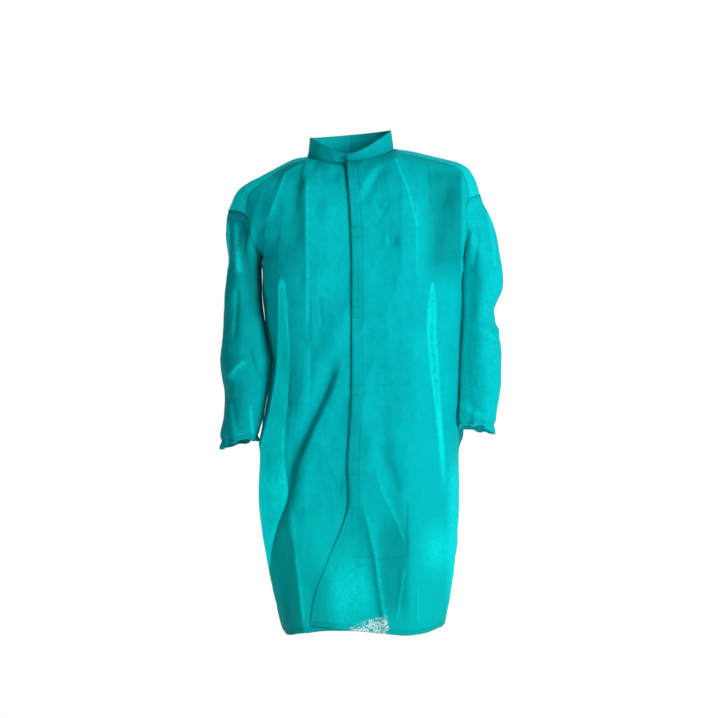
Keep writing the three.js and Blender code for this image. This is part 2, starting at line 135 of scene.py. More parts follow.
cloth, tree, shader, new = new_material("cloth")
place = new.node("ShaderNodeTexCoord", None, 3)
# glow carries painted light, dim carries painted shade with a few dark seam lines, thin marks thin cloth.
glow = new.node("ShaderNodeAttribute", {"attribute_name": "glow"}, 2)
dim = new.node("ShaderNodeAttribute", {"attribute_name": "dim"}, 2)
thin = new.node("ShaderNodeAttribute", {"attribute_name": "thin"}, 2)
cloud = new.noise(place, 11.0, 5.0)
web = new.noise(place, 120.0, 5.0, 0.7)
fibre = new.noise(place, 430.0, 3.0)
speck = new.noise(place, 240.0, 2.0, 0.7)
scaled = {"operation": "MULTIPLY"}
upright = new.node("ShaderNodeVectorMath", scaled, 0, {0: place, 1: (1.0, 1.0, 0.16)})
level = new.node("ShaderNodeVectorMath", scaled, 0, {0: place, 1: (0.3, 0.3, 1.0)})
streak = new.noise(upright, 30.0, 4.0) * 0.5 + new.noise(level, 60.0, 4.0) * 0.5
light = (cloud * 0.35 + streak * 0.25 + web * 0.25 + fibre * 0.15).ramp(0.38, 0.62)
colour = light.blend(TEAL_CLOUD, TEAL)
height = new.node("ShaderNodeSeparateXYZ", None, 2, {"Vector": place})
# Painted light: the cloth turns greener towards the hem.
colour = ((height * -1.0).ramp(0.60, 1.05) * 0.8).blend(colour, TEAL_LOW)
# Painted shade: the dim marks darken the cloth towards TEAL_DIM.
colour = dim.clip().blend(colour, TEAL_DIM)
# Painted light: the glow marks, broken up by the web, brighten the cloth towards TEAL_BRIGHT.
painted_glow = (glow * (web.ramp(0.30, 0.62) * 0.55 + fibre.ramp(0.35, 0.65) * 0.35 + 0.35)).clip()
colour = painted_glow.blend(colour, TEAL_BRIGHT)
holes = (speck + thin * 0.13).ramp(0.58, 0.63) * thin.ramp(0.05, 0.4)
colour = holes.blend(colour, FIBRE_WHITE)
relief = web * 0.7 + fibre * 0.3
bump = new.node("ShaderNodeBump", None, 0, {"Strength": 0.25, "Distance": 0.0007, "Height": relief})
# Painted light: the same painted glow also shines as emission.
lit = (painted_glow * (fibre.ramp(0.35, 0.65) * 0.35 + 0.65)).blend((0, 0, 0, 1), TEAL_LIT)
tree.links.new(colour.socket, shader.inputs["Base Color"])
tree.links.new(lit.socket, shader.inputs["Emission Color"])
shader.inputs["Emission Strength"].default_value = 1.0
tree.links.new((fibre * 0.2 + 0.65).socket, shader.inputs["Roughness"])
tree.links.new(bump.socket, shader.inputs["Normal"])
shader.inputs["Specular IOR Level"].default_value = 0.03
lit_through = tree.nodes.new("ShaderNodeBsdfTranslucent")
lit_through.inputs["Color"].default_value = TEAL_THROUGH
tree.links.new(bump.socket, lit_through.inputs["Normal"])
mixer = tree.nodes.new("ShaderNodeMixShader")
# The painted glow lets more light through the cloth, and the painted shade less.
share = (light * 0.10 + painted_glow * 0.60 - dim * 0.16 + (THROUGH - 0.05)).clip()
tree.links.new(share.socket, mixer.inputs[0])
tree.links.new(shader.outputs[0], mixer.inputs[1])
tree.links.new(lit_through.outputs[0], mixer.inputs[2])
tree.links.new(mixer.outputs[0], tree.nodes["Material Output"].inputs["Surface"])

# ---- the worn shape ----
# The cut pieces hang in one shape: an upright tube round the body that closes over the shoulders.
# The side seams hang against the sleeves, and the left front laps over the right one.
ARMPIT = -0.236
HEM = -0.135 - 0.94
FRONT = 0.135
UNDER = 0.0048  # how far the right front lies behind the left one
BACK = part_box("back_panel")[1][1]
CHEST_BACK = 0.112
FOLD_X = 0.095  # where the fronts leave the flat
CROWN = 0.003
UNDER_EDGE = 0.020
U_FOLD, U_NECK = 0.45, 0.6
NECK_X, NECK_HALF, NECK_FRONT, NECK_BACK = -0.006, 0.097, 0.080, 0.075
NECK_DROP, NECK_RISE, NECK_TILT = 0.028, 0.006, 0.0876
LEFT_EDGE = [(-0.031, -0.014), (-0.080, -0.010), (-0.150, -0.005), (-0.400, -0.002),
             (-0.600, -0.004), (-0.690, -0.011), (-0.790, -0.010), (-0.915, -0.055),
             (-1.000, -0.082), (-1.075, -0.092)]
LEFT_SHOULDER = [(0.091, 0.008), (0.160, -0.004), (0.245, -0.026), (0.272, -0.054), (0.286, -0.094)]
RIGHT_SHOULDER = [(-0.103, -0.009), (-0.148, -0.022), (-0.214, -0.057), (-0.258, -0.084),
                  (-0.280, -0.129)]
LEFT_SLEEVE = [(286, -94, 246, -236, 78, 0), (303, -135, 247, -243, 79, 0),
               (314, -180, 247, -253, 79, 0), (322, -229, 247, -266, 78, 0),
               (330, -275, 247, -290, 77, -1), (331, -306, 247, -312, 76, -2),
               (321, -337, 247, -337, 74, -4), (318, -362, 247, -362, 72, -5),
               (331, -421, 244, -421, 70, -9), (334, -455, 242, -455, 67, -11),
               (332, -511, 240, -511, 61, -16), (325, -551, 239, -551, 56, -20),
               (319, -590, 237, -590, 50, -24), (316, -612, 237, -608, 43, -26),
               (311, -630, 240, -618, 33, -28)]
RIGHT_SLEEVE = [(-280, -129, -202, -236, 76, 0), (-285, -160, -204, -243, 77, 0),
                (-286, -200, -205, -253, 77, 0), (-282, -235, -205, -266, 76, 0),
                (-285, -276, -204, -290, 75, -1), (-288, -331, -203, -331, 74, -4),
                (-290, -380, -197, -380, 71, -7), (-296, -430, -187, -430, 68, -10),
                (-300, -466, -181, -466, 66, -13), (-297, -505, -185, -505, 63, -16),
                (-294, -538, -190, -538, 60, -19), (-295, -590, -199, -590, 54, -23),
                (-297, -625, -206, -618, 47, -26), (-294, -648, -209, -636, 40, -28),
                (-290, -664, -212, -646, 33, -30)]
SLEEVES = {1: np.array(LEFT_SLEEVE) / 1000, -1: np.array(RIGHT_SLEEVE) / 1000}
SKIRTS = {1: [(0.0, 0.243), (0.42, 0.233), (0.48, 0.231), (0.56, 0.235), (0.65, 0.236),
              (0.79, 0.231), (0.94, 0.216), (1.0, 0.207)],
          -1: [(0.0, -0.198), (0.44, -0.197), (0.49, -0.203), (0.58, -0.211), (0.65, -0.212),
               (0.73, -0.205), (0.82, -0.191), (0.92, -0.173), (1.0, -0.153)]}
LEFT_HEM = [(-0.092, 0.032), (-0.013, 0.022), (0.020, 0.019), (0.069, 0.014), (0.115, 0.009),
            (0.158, 0.012), (0.205, 0.020)]
RIGHT_HEM = [(-0.155, -0.003), (-0.116, 0.013), (-0.083, 0.018), (0.020, 0.019), (0.115, 0.009),
             (0.158, 0.012), (0.205, 0.020)]
LEFT_FULLNESS, RIGHT_FULLNESS = 0.015, 0.021  # how far the back swells out behind each sleeve
SLEEVE_CORNER = 0.028  # how far the armhole seam bows in towards the neck


def curve(rows, at):
    """A smooth curve through rows of place and value: a cubic whose slopes come from neighbours."""
    rows = np.array(sorted(map(tuple, rows)))
    x, y = rows.T
    slope = np.gradient(y, x)
    at = np.clip(at, x[0], x[-1])
    i = np.clip(np.searchsorted(x, at) - 1, 0, len(x) - 2)
    h = x[i + 1] - x[i]
    t = (at - x[i]) / h
    start = (1 + 2 * t) * (1 - t) ** 2 * y[i] + t * (1 - t) ** 2 * h * slope[i]
    return start + t * t * (3 - 2 * t) * y[i + 1] + t * t * (t - 1) * h * slope[i + 1]


def smooth(start, end, at):
    t = np.clip((at - start) / (end - start), 0, 1)
    return t * t * (3 - 2 * t)


def mix(a, b, t):
    return a + (b - a) * t


def side_seam(side, z):
    """A side seam's x by height: just clear of the sleeve beside it, then along the skirt."""
    sleeve = SLEEVES[side]
    inner = curve(sleeve[:, [3, 2]], z)
    skirt = curve(SKIRTS[side], (ARMPIT - z) / (ARMPIT - HEM))
    body = mix(inner - side * 0.0012, skirt, smooth(0, 0.09, sleeve[-1][3] - z))
    return mix(inner, body, smooth(0, 0.03, ARMPIT - z))


def neck_line(angle, under):
    """The neck edge by the angle round it, from the left side over the front."""
    s = np.sin(angle)
    depth = np.where(s > 0, NECK_FRONT - under * UNDER * s * s, NECK_BACK)
    level = np.where(s > 0, -NECK_DROP * np.abs(s) ** 1.5, -NECK_RISE * s)
    x = NECK_X + NECK_HALF * np.cos(angle)
    return np.stack([x, -depth * s, NECK_TILT * x + level], -1)


def shoulder(side, share):
    points = np.array(LEFT_SHOULDER if side > 0 else RIGHT_SHOULDER)
    places = np.linspace(0, 1, len(points))
    x = curve(np.column_stack([places, points[:, 0]]), share)
    z = curve(np.column_stack([places, points[:, 1]]), share)
    return np.stack([x, 0 * x, z], -1)


def bowed(side, level):
    """The armhole's bow, by level from its foot (0) to its top (1): inwards and up, square to it."""
    return SLEEVE_CORNER * np.sin(np.pi * level ** 2.4)[..., None] * (-side * 0.93, 0, 0.30)


def armhole(side, share, facing):
    """The armhole seam, from foot to top, over the front (facing -1) or the back (1)."""
    ox, oz, ix, iz, half, _ = SLEEVES[side][0]
    turn = np.pi * share
    level = (1 - np.cos(turn)) / 2
    points = np.stack([mix(ix, ox, level), facing * half * np.sin(turn), mix(iz, oz, level)], -1)
    return points + bowed(side, level)


def front_skirt(side, u, share):
    """A front below the armpits: flat and upright to the fold line, then round to the side."""
    z = mix(HEM, ARMPIT, share)
    depth = FRONT - (0 if side > 0 else UNDER * (1 - 0.5 * smooth(-0.80, -0.92, z)))
    edge = curve(LEFT_EDGE, z) if side > 0 else UNDER_EDGE + 0 * z
    fold = side * FOLD_X
    turn = np.maximum(0, u - U_FOLD) / (1 - U_FOLD) * np.pi / 2
    flat = mix(edge, fold, u / U_FOLD)
    x = np.where(u < U_FOLD, flat, fold + (side_seam(side, z) - fold) * np.sin(turn))
    crown = np.where(u < U_FOLD, CROWN * (1 - (x / FOLD_X) ** 2), 0)
    rise = curve(LEFT_HEM if side > 0 else RIGHT_HEM, x) * (1 - share) ** 4
    return np.stack([x, -(depth * np.cos(turn) + crown), z + rise], -1)


def front_top(side, u):
    """A front's top edge: round the neck, then along the shoulder."""
    edge = np.arccos((-0.008 if side > 0 else 0.018) / NECK_HALF)
    fold = np.radians(47 if side > 0 else 133)
    end = 0 if side > 0 else np.pi
    outer = mix(fold, end, (u - U_FOLD) / (U_NECK - U_FOLD))
    neck = neck_line(np.where(u < U_FOLD, mix(edge, fold, u / U_FOLD), outer), side < 0)
    if side < 0:
        neck[..., 2] -= UNDER * smooth(-0.060, -0.016, neck[..., 0])
    slope = shoulder(side, np.clip((u - U_NECK) / (1 - U_NECK), 0, 1))
    return np.where((u <= U_NECK)[..., None], neck, slope)


def filled(u, t, bottom, top, start, end):
    """Four edges filled in; y bends late and z flattens at the top, as over a shoulder."""
    rise = np.stack([t, t ** 2.2, np.sin(np.pi * t / 2)], -1)
    one = np.ones_like(u)
    first = mix(bottom(0 * one), top(0 * one), rise)
    last = mix(bottom(one), top(one), rise)
    near = ((1 - u) ** 3)[..., None]
    far = (u ** 3)[..., None]
    return mix(bottom(u), top(u), rise) + near * (start(t) - first) + far * (end(t) - last)


def front(side, u, t):
    """A front from hem (t 0) over the armpits (1) to its top edge (2); u from edge to side."""
    skirt = front_skirt(side, u, np.minimum(t, 1))

    def bottom(v):
        return front_skirt(side, v, np.ones_like(v))

    def top(v):
        return front_top(side, v)

    def edge(s):
        foot, head = bottom(0 * s), top(0 * s)
        z = mix(foot[..., 2], head[..., 2], np.sin(np.pi * s / 2))
        x = curve(LEFT_EDGE, z) if side > 0 else mix(foot[..., 0], head[..., 0], s)
        return np.stack([x, mix(foot[..., 1], head[..., 1], s ** 2.2), z], -1)

    chest = np.clip(t - 1, 0, 1)
    upper = filled(u, chest, bottom, top, edge, lambda s: armhole(side, s, -1))
    return np.where((t <= 1)[..., None], skirt, upper)


def back_skirt(u, share):
    z = mix(HEM, ARMPIT, share)
    left, right = side_seam(1, z), side_seam(-1, z)
    turn = np.pi * (1 - u)
    c = np.cos(turn)
    x = (left + right) / 2 + (left - right) / 2 * np.sign(c) * np.abs(c) ** 0.9
    depth = mix(BACK, CHEST_BACK, share ** 1.5)
    y = depth * np.abs(np.sin(turn)) ** 0.85
    beside = smooth(-0.230, -0.248, z) * smooth(-0.700, -0.590, z)
    beside = beside * np.exp(-(((y - 0.050) / 0.022) ** 2))
    x = x + np.where(c > 0, LEFT_FULLNESS, -RIGHT_FULLNESS) * beside
    rise = curve(RIGHT_HEM, x) * (1 - share) ** 4
    return np.stack([x, y, z + rise], -1)


def back_top(u):
    neck = neck_line(np.pi + (u - 0.3) / 0.4 * np.pi, False)
    left = shoulder(1, np.clip((u - 0.7) / 0.3, 0, 1))
    right = shoulder(-1, np.clip((0.3 - u) / 0.3, 0, 1))
    top = np.where((u > 0.7)[..., None], left, neck)
    return np.where((u < 0.3)[..., None], right, top)


def back(u, t):
    """The back from hem to top edge; u from the right side seam to the left one."""
    skirt = back_skirt(u, np.minimum(t, 1))
    ends = [lambda s: armhole(-1, s, 1), lambda s: armhole(1, s, 1)]
    chest = np.clip(t - 1, 0, 1)
    upper = filled(u, chest, lambda v: back_skirt(v, np.ones_like(v)), back_top, *ends)
    return np.where((t <= 1)[..., None], skirt, upper)


def sleeve(side, turns, places):
    """A sleeve: rings through its sections, each from its outer edge over the front."""
    a, s = np.meshgrid(turns, places)
    rows = SLEEVES[side]
    index = np.arange(len(rows))
    ox, oz, ix, iz, half, y = (curve(np.column_stack([index, rows[:, k]]), s) for k in range(6))
    c = np.cos(2 * np.pi * a)
    level = (1 + c) / 2
    x = mix(ix, ox, level)
    z = mix(iz, oz, level)
    points = np.stack([x, y - half * np.sin(2 * np.pi * a), z], -1)
    return points + bowed(side, level) * (1 - smooth(0, 3.5, s))[..., None]


# ---- folds ----
# The cloth is stiff for its weight: it drapes in a few long folds, keeps the sharp creases it
# was packed with, and crumples in small facets wherever it was handled.


def to_line(x, z, points):
    """Signed distance to a line of points (positive west of one going down), and the share along."""
    points = np.array(points)
    steps = np.diff(points, axis=0)
    lengths = np.hypot(*steps.T)
    best = np.full(x.shape, np.inf)
    signed = np.zeros(x.shape)
    share = np.zeros(x.shape)
    starts = np.concatenate([[0], lengths.cumsum()[:-1]])
    for point, step, length, start in zip(points, steps, lengths, starts):
        dx, dz = x - point[0], z - point[1]
        t = np.clip((dx * step[0] + dz * step[1]) / length ** 2, 0, 1)
        gap = np.hypot(dx - t * step[0], dz - t * step[1])
        near = gap < best
        best = np.where(near, gap, best)
        signed = np.where(near, gap * np.sign(dx * step[1] - dz * step[0]), signed)
        share = np.where(near, (start + t * length) / lengths.sum(), share)
    return signed, share


def drape(x, z, rise, west, east, points, fade=0.2):
    """A soft fold along a line: a bell of height rise, of different width on its two sides."""
    gap, share = to_line(x, z, points)
    bell = np.exp(-((gap / np.where(gap > 0, west, east)) ** 2))
    return rise / 1000 * bell * smooth(0, fade, share) * smooth(0, fade, 1 - share)


def crease(x, z, rise, west, east, points, fade=0.15):
    """A sharp fold along a line: a crest that falls off evenly to both sides."""
    gap, share = to_line(x, z, points)
    away = (np.sqrt(gap ** 2 + 0.0012 ** 2) - 0.0012) / np.where(gap > 0, west, east)
    return rise / 1000 * np.exp(-away) * smooth(0, fade, share) * smooth(0, fade, 1 - share)


def waves(places, seed, scale, count=24):
    """Smooth noise of about unit size: a sum of seeded plane waves about `scale` metres long."""
    rng = np.random.default_rng(seed)
    total = 0
    for _ in range(count):
        way = rng.normal(size=3)
        way *= 2 * np.pi / scale * rng.uniform(0.6, 1.5) / np.linalg.norm(way)
        total = total + np.sin(places @ way + rng.uniform(0, 2 * np.pi))
    return total / np.sqrt(count / 2)


def crumple(places, seed):
    """Crumples of the stiff web: noise folded over at zero, so that it has sharp crests."""
    long = np.abs(waves(places * (1, 1, 0.45), seed, 0.15))
    middle = np.abs(waves(places * (1, 1, 0.6), seed + 1, 0.07))
    small = np.abs(waves(places, seed + 2, 0.03))
    return 0.0013 - 0.0015 * long - 0.0006 * middle - 0.00015 * small


# ---- from a shape to a sheet ----
# Every panel starts as a coarse grid on the worn shape. The cloth solver lets it buckle, as a
# panel cut with ease does, and the result is read back at a finer step for the small creases.


def laid_flat(points):
    """Where each point of a grid lies when the cloth is laid flat, as lengths across and along."""
    across = np.linalg.norm(np.diff(points, axis=1), axis=-1).cumsum(1)
    along = np.linalg.norm(np.diff(points, axis=0), axis=-1).cumsum(0)
    across = np.hstack([np.zeros((len(points), 1)), across])
    along = np.vstack([np.zeros((1, points.shape[1])), along])
    return np.stack([across, along], -1)


def normals(points, sign, ring=False):
    """Unit normals of a grid, pointing out of the coat."""
    if ring:
        across = np.roll(points, -1, 1) - np.roll(points, 1, 1)
    else:
        across = np.gradient(points, axis=1)
    way = sign * np.cross(across, np.gradient(points, axis=0))
    return way / np.maximum(np.linalg.norm(way, axis=-1, keepdims=True), 1e-12)


def grid_object(name, points, sign=1, ring=False):
    """A mesh over a grid of points, its UVs in metres of flat cloth; ring joins the row ends."""
    rows, columns = points.shape[:2]
    index = np.arange(rows * columns).reshape(rows, columns)
    flat = laid_flat(points)
    if ring:
        index = np.hstack([index, index[:, :1]])
        flat = np.concatenate([flat, 2 * flat[:, -1:] - flat[:, -2:-1]], 1)
    order = [(0, 0), (0, 1), (1, 1), (1, 0)][::sign]
    sizes = (rows - 1, index.shape[1] - 1)
    corner = [index[r:r + sizes[0], c:c + sizes[1]] for r, c in order]
    spread = [flat[r:r + sizes[0], c:c + sizes[1]] for r, c in order]
    mesh = bpy.data.meshes.new(name)
    mesh.from_pydata(points.reshape(-1, 3).tolist(), [], np.stack(corner, -1).reshape(-1, 4).tolist())
    mesh.uv_layers.new(name="cloth").data.foreach_set("uv", np.stack(spread, 2).reshape(-1))
    mesh.polygons.foreach_set("use_smooth", np.ones(len(mesh.polygons), dtype=bool))
    made = bpy.data.objects.new(name, mesh)
    bpy.context.collection.objects.link(made)
    return made


def buckled(points, held, ease, ring=False, frames=22):
    """The grid once the cloth solver has run: the cloth is cut larger than its shape by ease (a
    share each way), sewn where held is 1, and drawn back to the shape elsewhere by held."""
    loose = grid_object("loose", points, 1, ring)
    loose.shape_key_add(name="hung")
    cut = loose.shape_key_add(name="cut")
    cut.data.foreach_set("co", (points * (np.array(ease) + 1)).reshape(-1))
    group = loose.vertex_groups.new(name="held")
    levels = np.round(held.reshape(-1) * 25).astype(int)
    for level in np.unique(levels):
        group.add(np.flatnonzero(levels == level).tolist(), level / 25, "REPLACE")
    solver = loose.modifiers.new("drape", "CLOTH")
    solver.settings.vertex_group_mass = "held"
    solver.settings.pin_stiffness = 1.0
    solver.settings.quality = 8
    solver.settings.mass = 0.05
    solver.settings.air_damping = 3.0
    solver.settings.tension_stiffness = 25
    solver.settings.compression_stiffness = 25
    solver.settings.shear_stiffness = 12
    solver.settings.bending_stiffness = 5.0
    solver.settings.rest_shape_key = cut
    solver.settings.effector_weights.gravity = 0.15
    solver.collision_settings.use_collision = False
    solver.point_cache.frame_start = 1
    solver.point_cache.frame_end = frames
    scene = bpy.context.scene
    for frame_number in range(1, frames + 1):
        scene.frame_set(frame_number)
    shape = loose.evaluated_get(bpy.context.evaluated_depsgraph_get()).data
    settled = np.empty(points.size)
    shape.vertices.foreach_get("co", settled)
    bpy.data.objects.remove(loose)
    scene.frame_set(1)
    return settled.reshape(points.shape)


def reading(count, places, ring=False):
    """The matrix that reads count samples at fractional places along a smooth cubic."""
    base = np.clip(np.floor(places).astype(int), 0, count - (1 if ring else 2))
    t = places - base
    weights = [(-t + 2 * t ** 2 - t ** 3) / 2, (2 - 5 * t ** 2 + 3 * t ** 3) / 2,
               (t + 4 * t ** 2 - 3 * t ** 3) / 2, (t ** 3 - t ** 2) / 2]
    matrix = np.zeros((len(places), count))
    for step, weight in zip((-1, 0, 1, 2), weights):
        index = (base + step) % count if ring else np.clip(base + step, 0, count - 1)
        np.add.at(matrix, (np.arange(len(places)), index), weight)
    return matrix


def finer(points, ring=False, times=2):
    """The same sheet read at `times` as many places along each way."""
    rows, columns = points.shape[:2]
    down = reading(rows, np.arange(times * (rows - 1) + 1) / times)
    wide = times * columns if ring else times * (columns - 1) + 1
    over = reading(columns, np.arange(wide) / times, ring)
    return (down @ points.transpose(2, 0, 1) @ over.T).transpose(1, 2, 0)


def at_places(grid, rows, columns):
    """A grid read at fractional rows and columns, straight between its points."""
    r = np.clip(np.floor(rows).astype(int), 0, grid.shape[0] - 2)
    c = np.clip(np.floor(columns).astype(int), 0, grid.shape[1] - 2)
    fr, fc = (rows - r)[..., None], (columns - c)[..., None]
    return mix(mix(grid[r, c], grid[r, c + 1], fc), mix(grid[r + 1, c], grid[r + 1, c + 1], fc), fr)


def area_of(points, ring=False):
    if ring:
        points = np.concatenate([points, points[:, :1]], 1)
    one = points[1:, 1:] - points[:-1, :-1]
    other = points[:-1, 1:] - points[1:, :-1]
    return np.linalg.norm(np.cross(one, other), axis=-1).sum() / 2


def thickened(made, thickness):
    solid = made.modifiers.new("thickness", "SOLIDIFY")
    solid.thickness = thickness
    solid.offset = -1


def cloth_sheet(name, points, shape, sign, nodes, marks=None, thickness=0.0005, ring=False):
    """The finished panel: a mesh with marks, thickness and material; prints its size laid flat."""
    made = grid_object(name, points, sign, ring)
    marks = marks or {}
    for mark in ("glow", "dim", "thin"):
        values = np.zeros(points.shape[:2]) + marks.get(mark, 0)
        layer = made.data.attributes.new(mark, "FLOAT", "POINT")
        layer.data.foreach_set("value", values.reshape(-1).astype(np.float32))
    thickened(made, thickness)
    made.data.materials.append(cloth)
    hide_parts(*nodes)
    lengths = laid_flat(shape)
    width, length = lengths[..., 0].max(), lengths[..., 1].max()
    if ring:
        width *= 1 + 1 / (shape.shape[1] - 1)
    area = min(area_of(shape, ring), width * length)
    print(f"{name}: flat {width:.3f} x {length:.3f} m, {area:.4f} m2")
    return made


# ---- the stitches ----
# Polyester thread, lockstitched: each stitch is a short bead of thread that lies on the cloth.
STITCH, THREAD = 0.0036, 0.00042

thread, tree, shader, new = new_material("thread")
place = new.node("ShaderNodeTexCoord", None, 3)
twist = new.noise(place, 900.0, 2.0)
tree.links.new(twist.blend((0.0, 0.13, 0.135, 1), (0.0, 0.26, 0.26, 1)).socket, shader.inputs["Base Color"])
shader.inputs["Roughness"].default_value = 0.6
shader.inputs["Specular IOR Level"].default_value = 0.15


def stitched(path, outward, length=STITCH):
    """Points of the beads along a path: each a closed spindle of 3 rings and 2 ends, 20 points."""
    along = np.concatenate([[0], np.linalg.norm(np.diff(path, axis=0), axis=-1).cumsum()])
    count = max(int(along[-1] / length), 1)
    steps = (np.arange(count)[:, None] + (0.12, 0.25, 0.5, 0.75, 0.88)) * along[-1] / count
    centre = np.stack([np.interp(steps, along, path[:, k]) for k in range(3)], -1)
    lift = np.stack([np.interp(steps, along, outward[:, k]) for k in range(3)], -1)
    lift /= np.linalg.norm(lift, axis=-1, keepdims=True)
    way = centre[:, -1:] - centre[:, :1]
    aside = np.cross(way, lift)
    aside /= np.maximum(np.linalg.norm(aside, axis=-1, keepdims=True), 1e-12)
    centre = centre + lift * np.array([0, 0.6, 0.9, 0.6, 0])[:, None] * THREAD
    turn = np.arange(6) * np.pi / 3
    spoke = aside[:, 1:4, None] * np.cos(turn)[:, None] + lift[:, 1:4, None] * np.sin(turn)[:, None]
    rings = centre[:, 1:4, None] + spoke * THREAD * np.array([0.85, 1, 0.85])[:, None, None] / 2 * 1.4
    return np.concatenate([centre[:, :1], rings.reshape(count, 18, 3), centre[:, 4:]], 1)


def bead_faces(count):
    """The faces of count spindles: quads between the rings and a fan at each end."""
    turn = np.arange(6)
    after = (turn + 1) % 6
    first = np.stack([0 * turn, 1 + after, 1 + turn], -1)
    last = np.stack([19 + 0 * turn, 13 + turn, 13 + after], -1)
    quads = [np.stack([1 + r * 6 + turn, 1 + r * 6 + after, 7 + r * 6 + after, 7 + r * 6 + turn], -1)
             for r in (0, 1)]
    shift = np.arange(count)[:, None, None] * 20
    fans = (np.concatenate([first, last]) + shift).reshape(-1, 3)
    sides = (np.concatenate(quads) + shift).reshape(-1, 4)
    return fans.tolist() + sides.tolist()


def stitch_object(name, beads):
    """One mesh from rows of stitches."""
    beads = np.concatenate(beads)
    mesh = bpy.data.meshes.new(name)
    mesh.from_pydata(beads.reshape(-1, 3).tolist(), [], bead_faces(len(beads)))
    mesh.polygons.foreach_set("use_smooth", np.ones(len(mesh.polygons), dtype=bool))
    mesh.materials.append(thread)
    made = bpy.data.objects.new(name, mesh)
    bpy.context.collection.objects.link(made)
    return made


# ---- the fronts ----
# Each front is one panel, cut whole from shoulder to hem. The left one laps over the right one,
# is sewn to its facing along the edge and hangs free below the last closure.
ROW_PLACES = np.concatenate([np.linspace(0, 1, 82), np.linspace(1, 2, 28)[1:]])
FINER = 3  # fine points to each of the solver's, along each way
CLOSURES = [(-0.188, 0.022), (-0.362, 0.022), (-0.531, 0.022), (-0.751, 0.076)]
FRONT_DRAPES = [
    (-16, 0.030, 0.016, [(-0.032, -0.442), (-0.054, -0.524), (-0.089, -0.601), (-0.122, -0.683),
                         (-0.137, -0.762), (-0.163, -0.829), (-0.178, -0.884)]),
    (8, 0.030, 0.018, [(-0.015, -0.335), (-0.026, -0.407), (-0.061, -0.477), (-0.089, -0.542),
                       (-0.115, -0.618)]),
    (-9, 0.018, 0.012, [(-0.158, -0.840), (-0.148, -0.950), (-0.136, -1.060)]),
    (-6, 0.020, 0.016, [(-0.117, -0.046), (-0.122, -0.128), (-0.126, -0.235)]),
    (-14, 0.026, 0.022, [(0.216, -0.055), (0.196, -0.128), (0.182, -0.193), (0.184, -0.262)]),
    (-5, 0.008, 0.014, [(0.072, -0.032), (0.035, -0.087), (0.014, -0.132)]),
    (-6, 0.020, 0.020, [(-0.098, -0.030), (-0.060, -0.060), (-0.022, -0.060)]),
    (6, 0.030, 0.040, [(-0.050, -0.100), (-0.052, -0.185), (-0.040, -0.300)]),
    (-4, 0.012, 0.012, [(0.072, -0.205), (0.102, -0.207)]),
    (6, 0.020, 0.045, [(0.085, -0.550), (0.100, -0.700), (0.130, -0.850)]),
    (-7, 0.020, 0.020, [(0.052, -0.640), (0.078, -0.705), (0.100, -0.760)]),
    (7, 0.030, 0.030, [(0.000, -0.540), (0.030, -0.620), (0.040, -0.700)]),
    (8, 0.040, 0.030, [(-0.110, -0.780), (-0.085, -0.860), (-0.060, -0.960)]),
    (-6, 0.030, 0.030, [(0.175, -0.350), (0.165, -0.520), (0.185, -0.700)]),
]
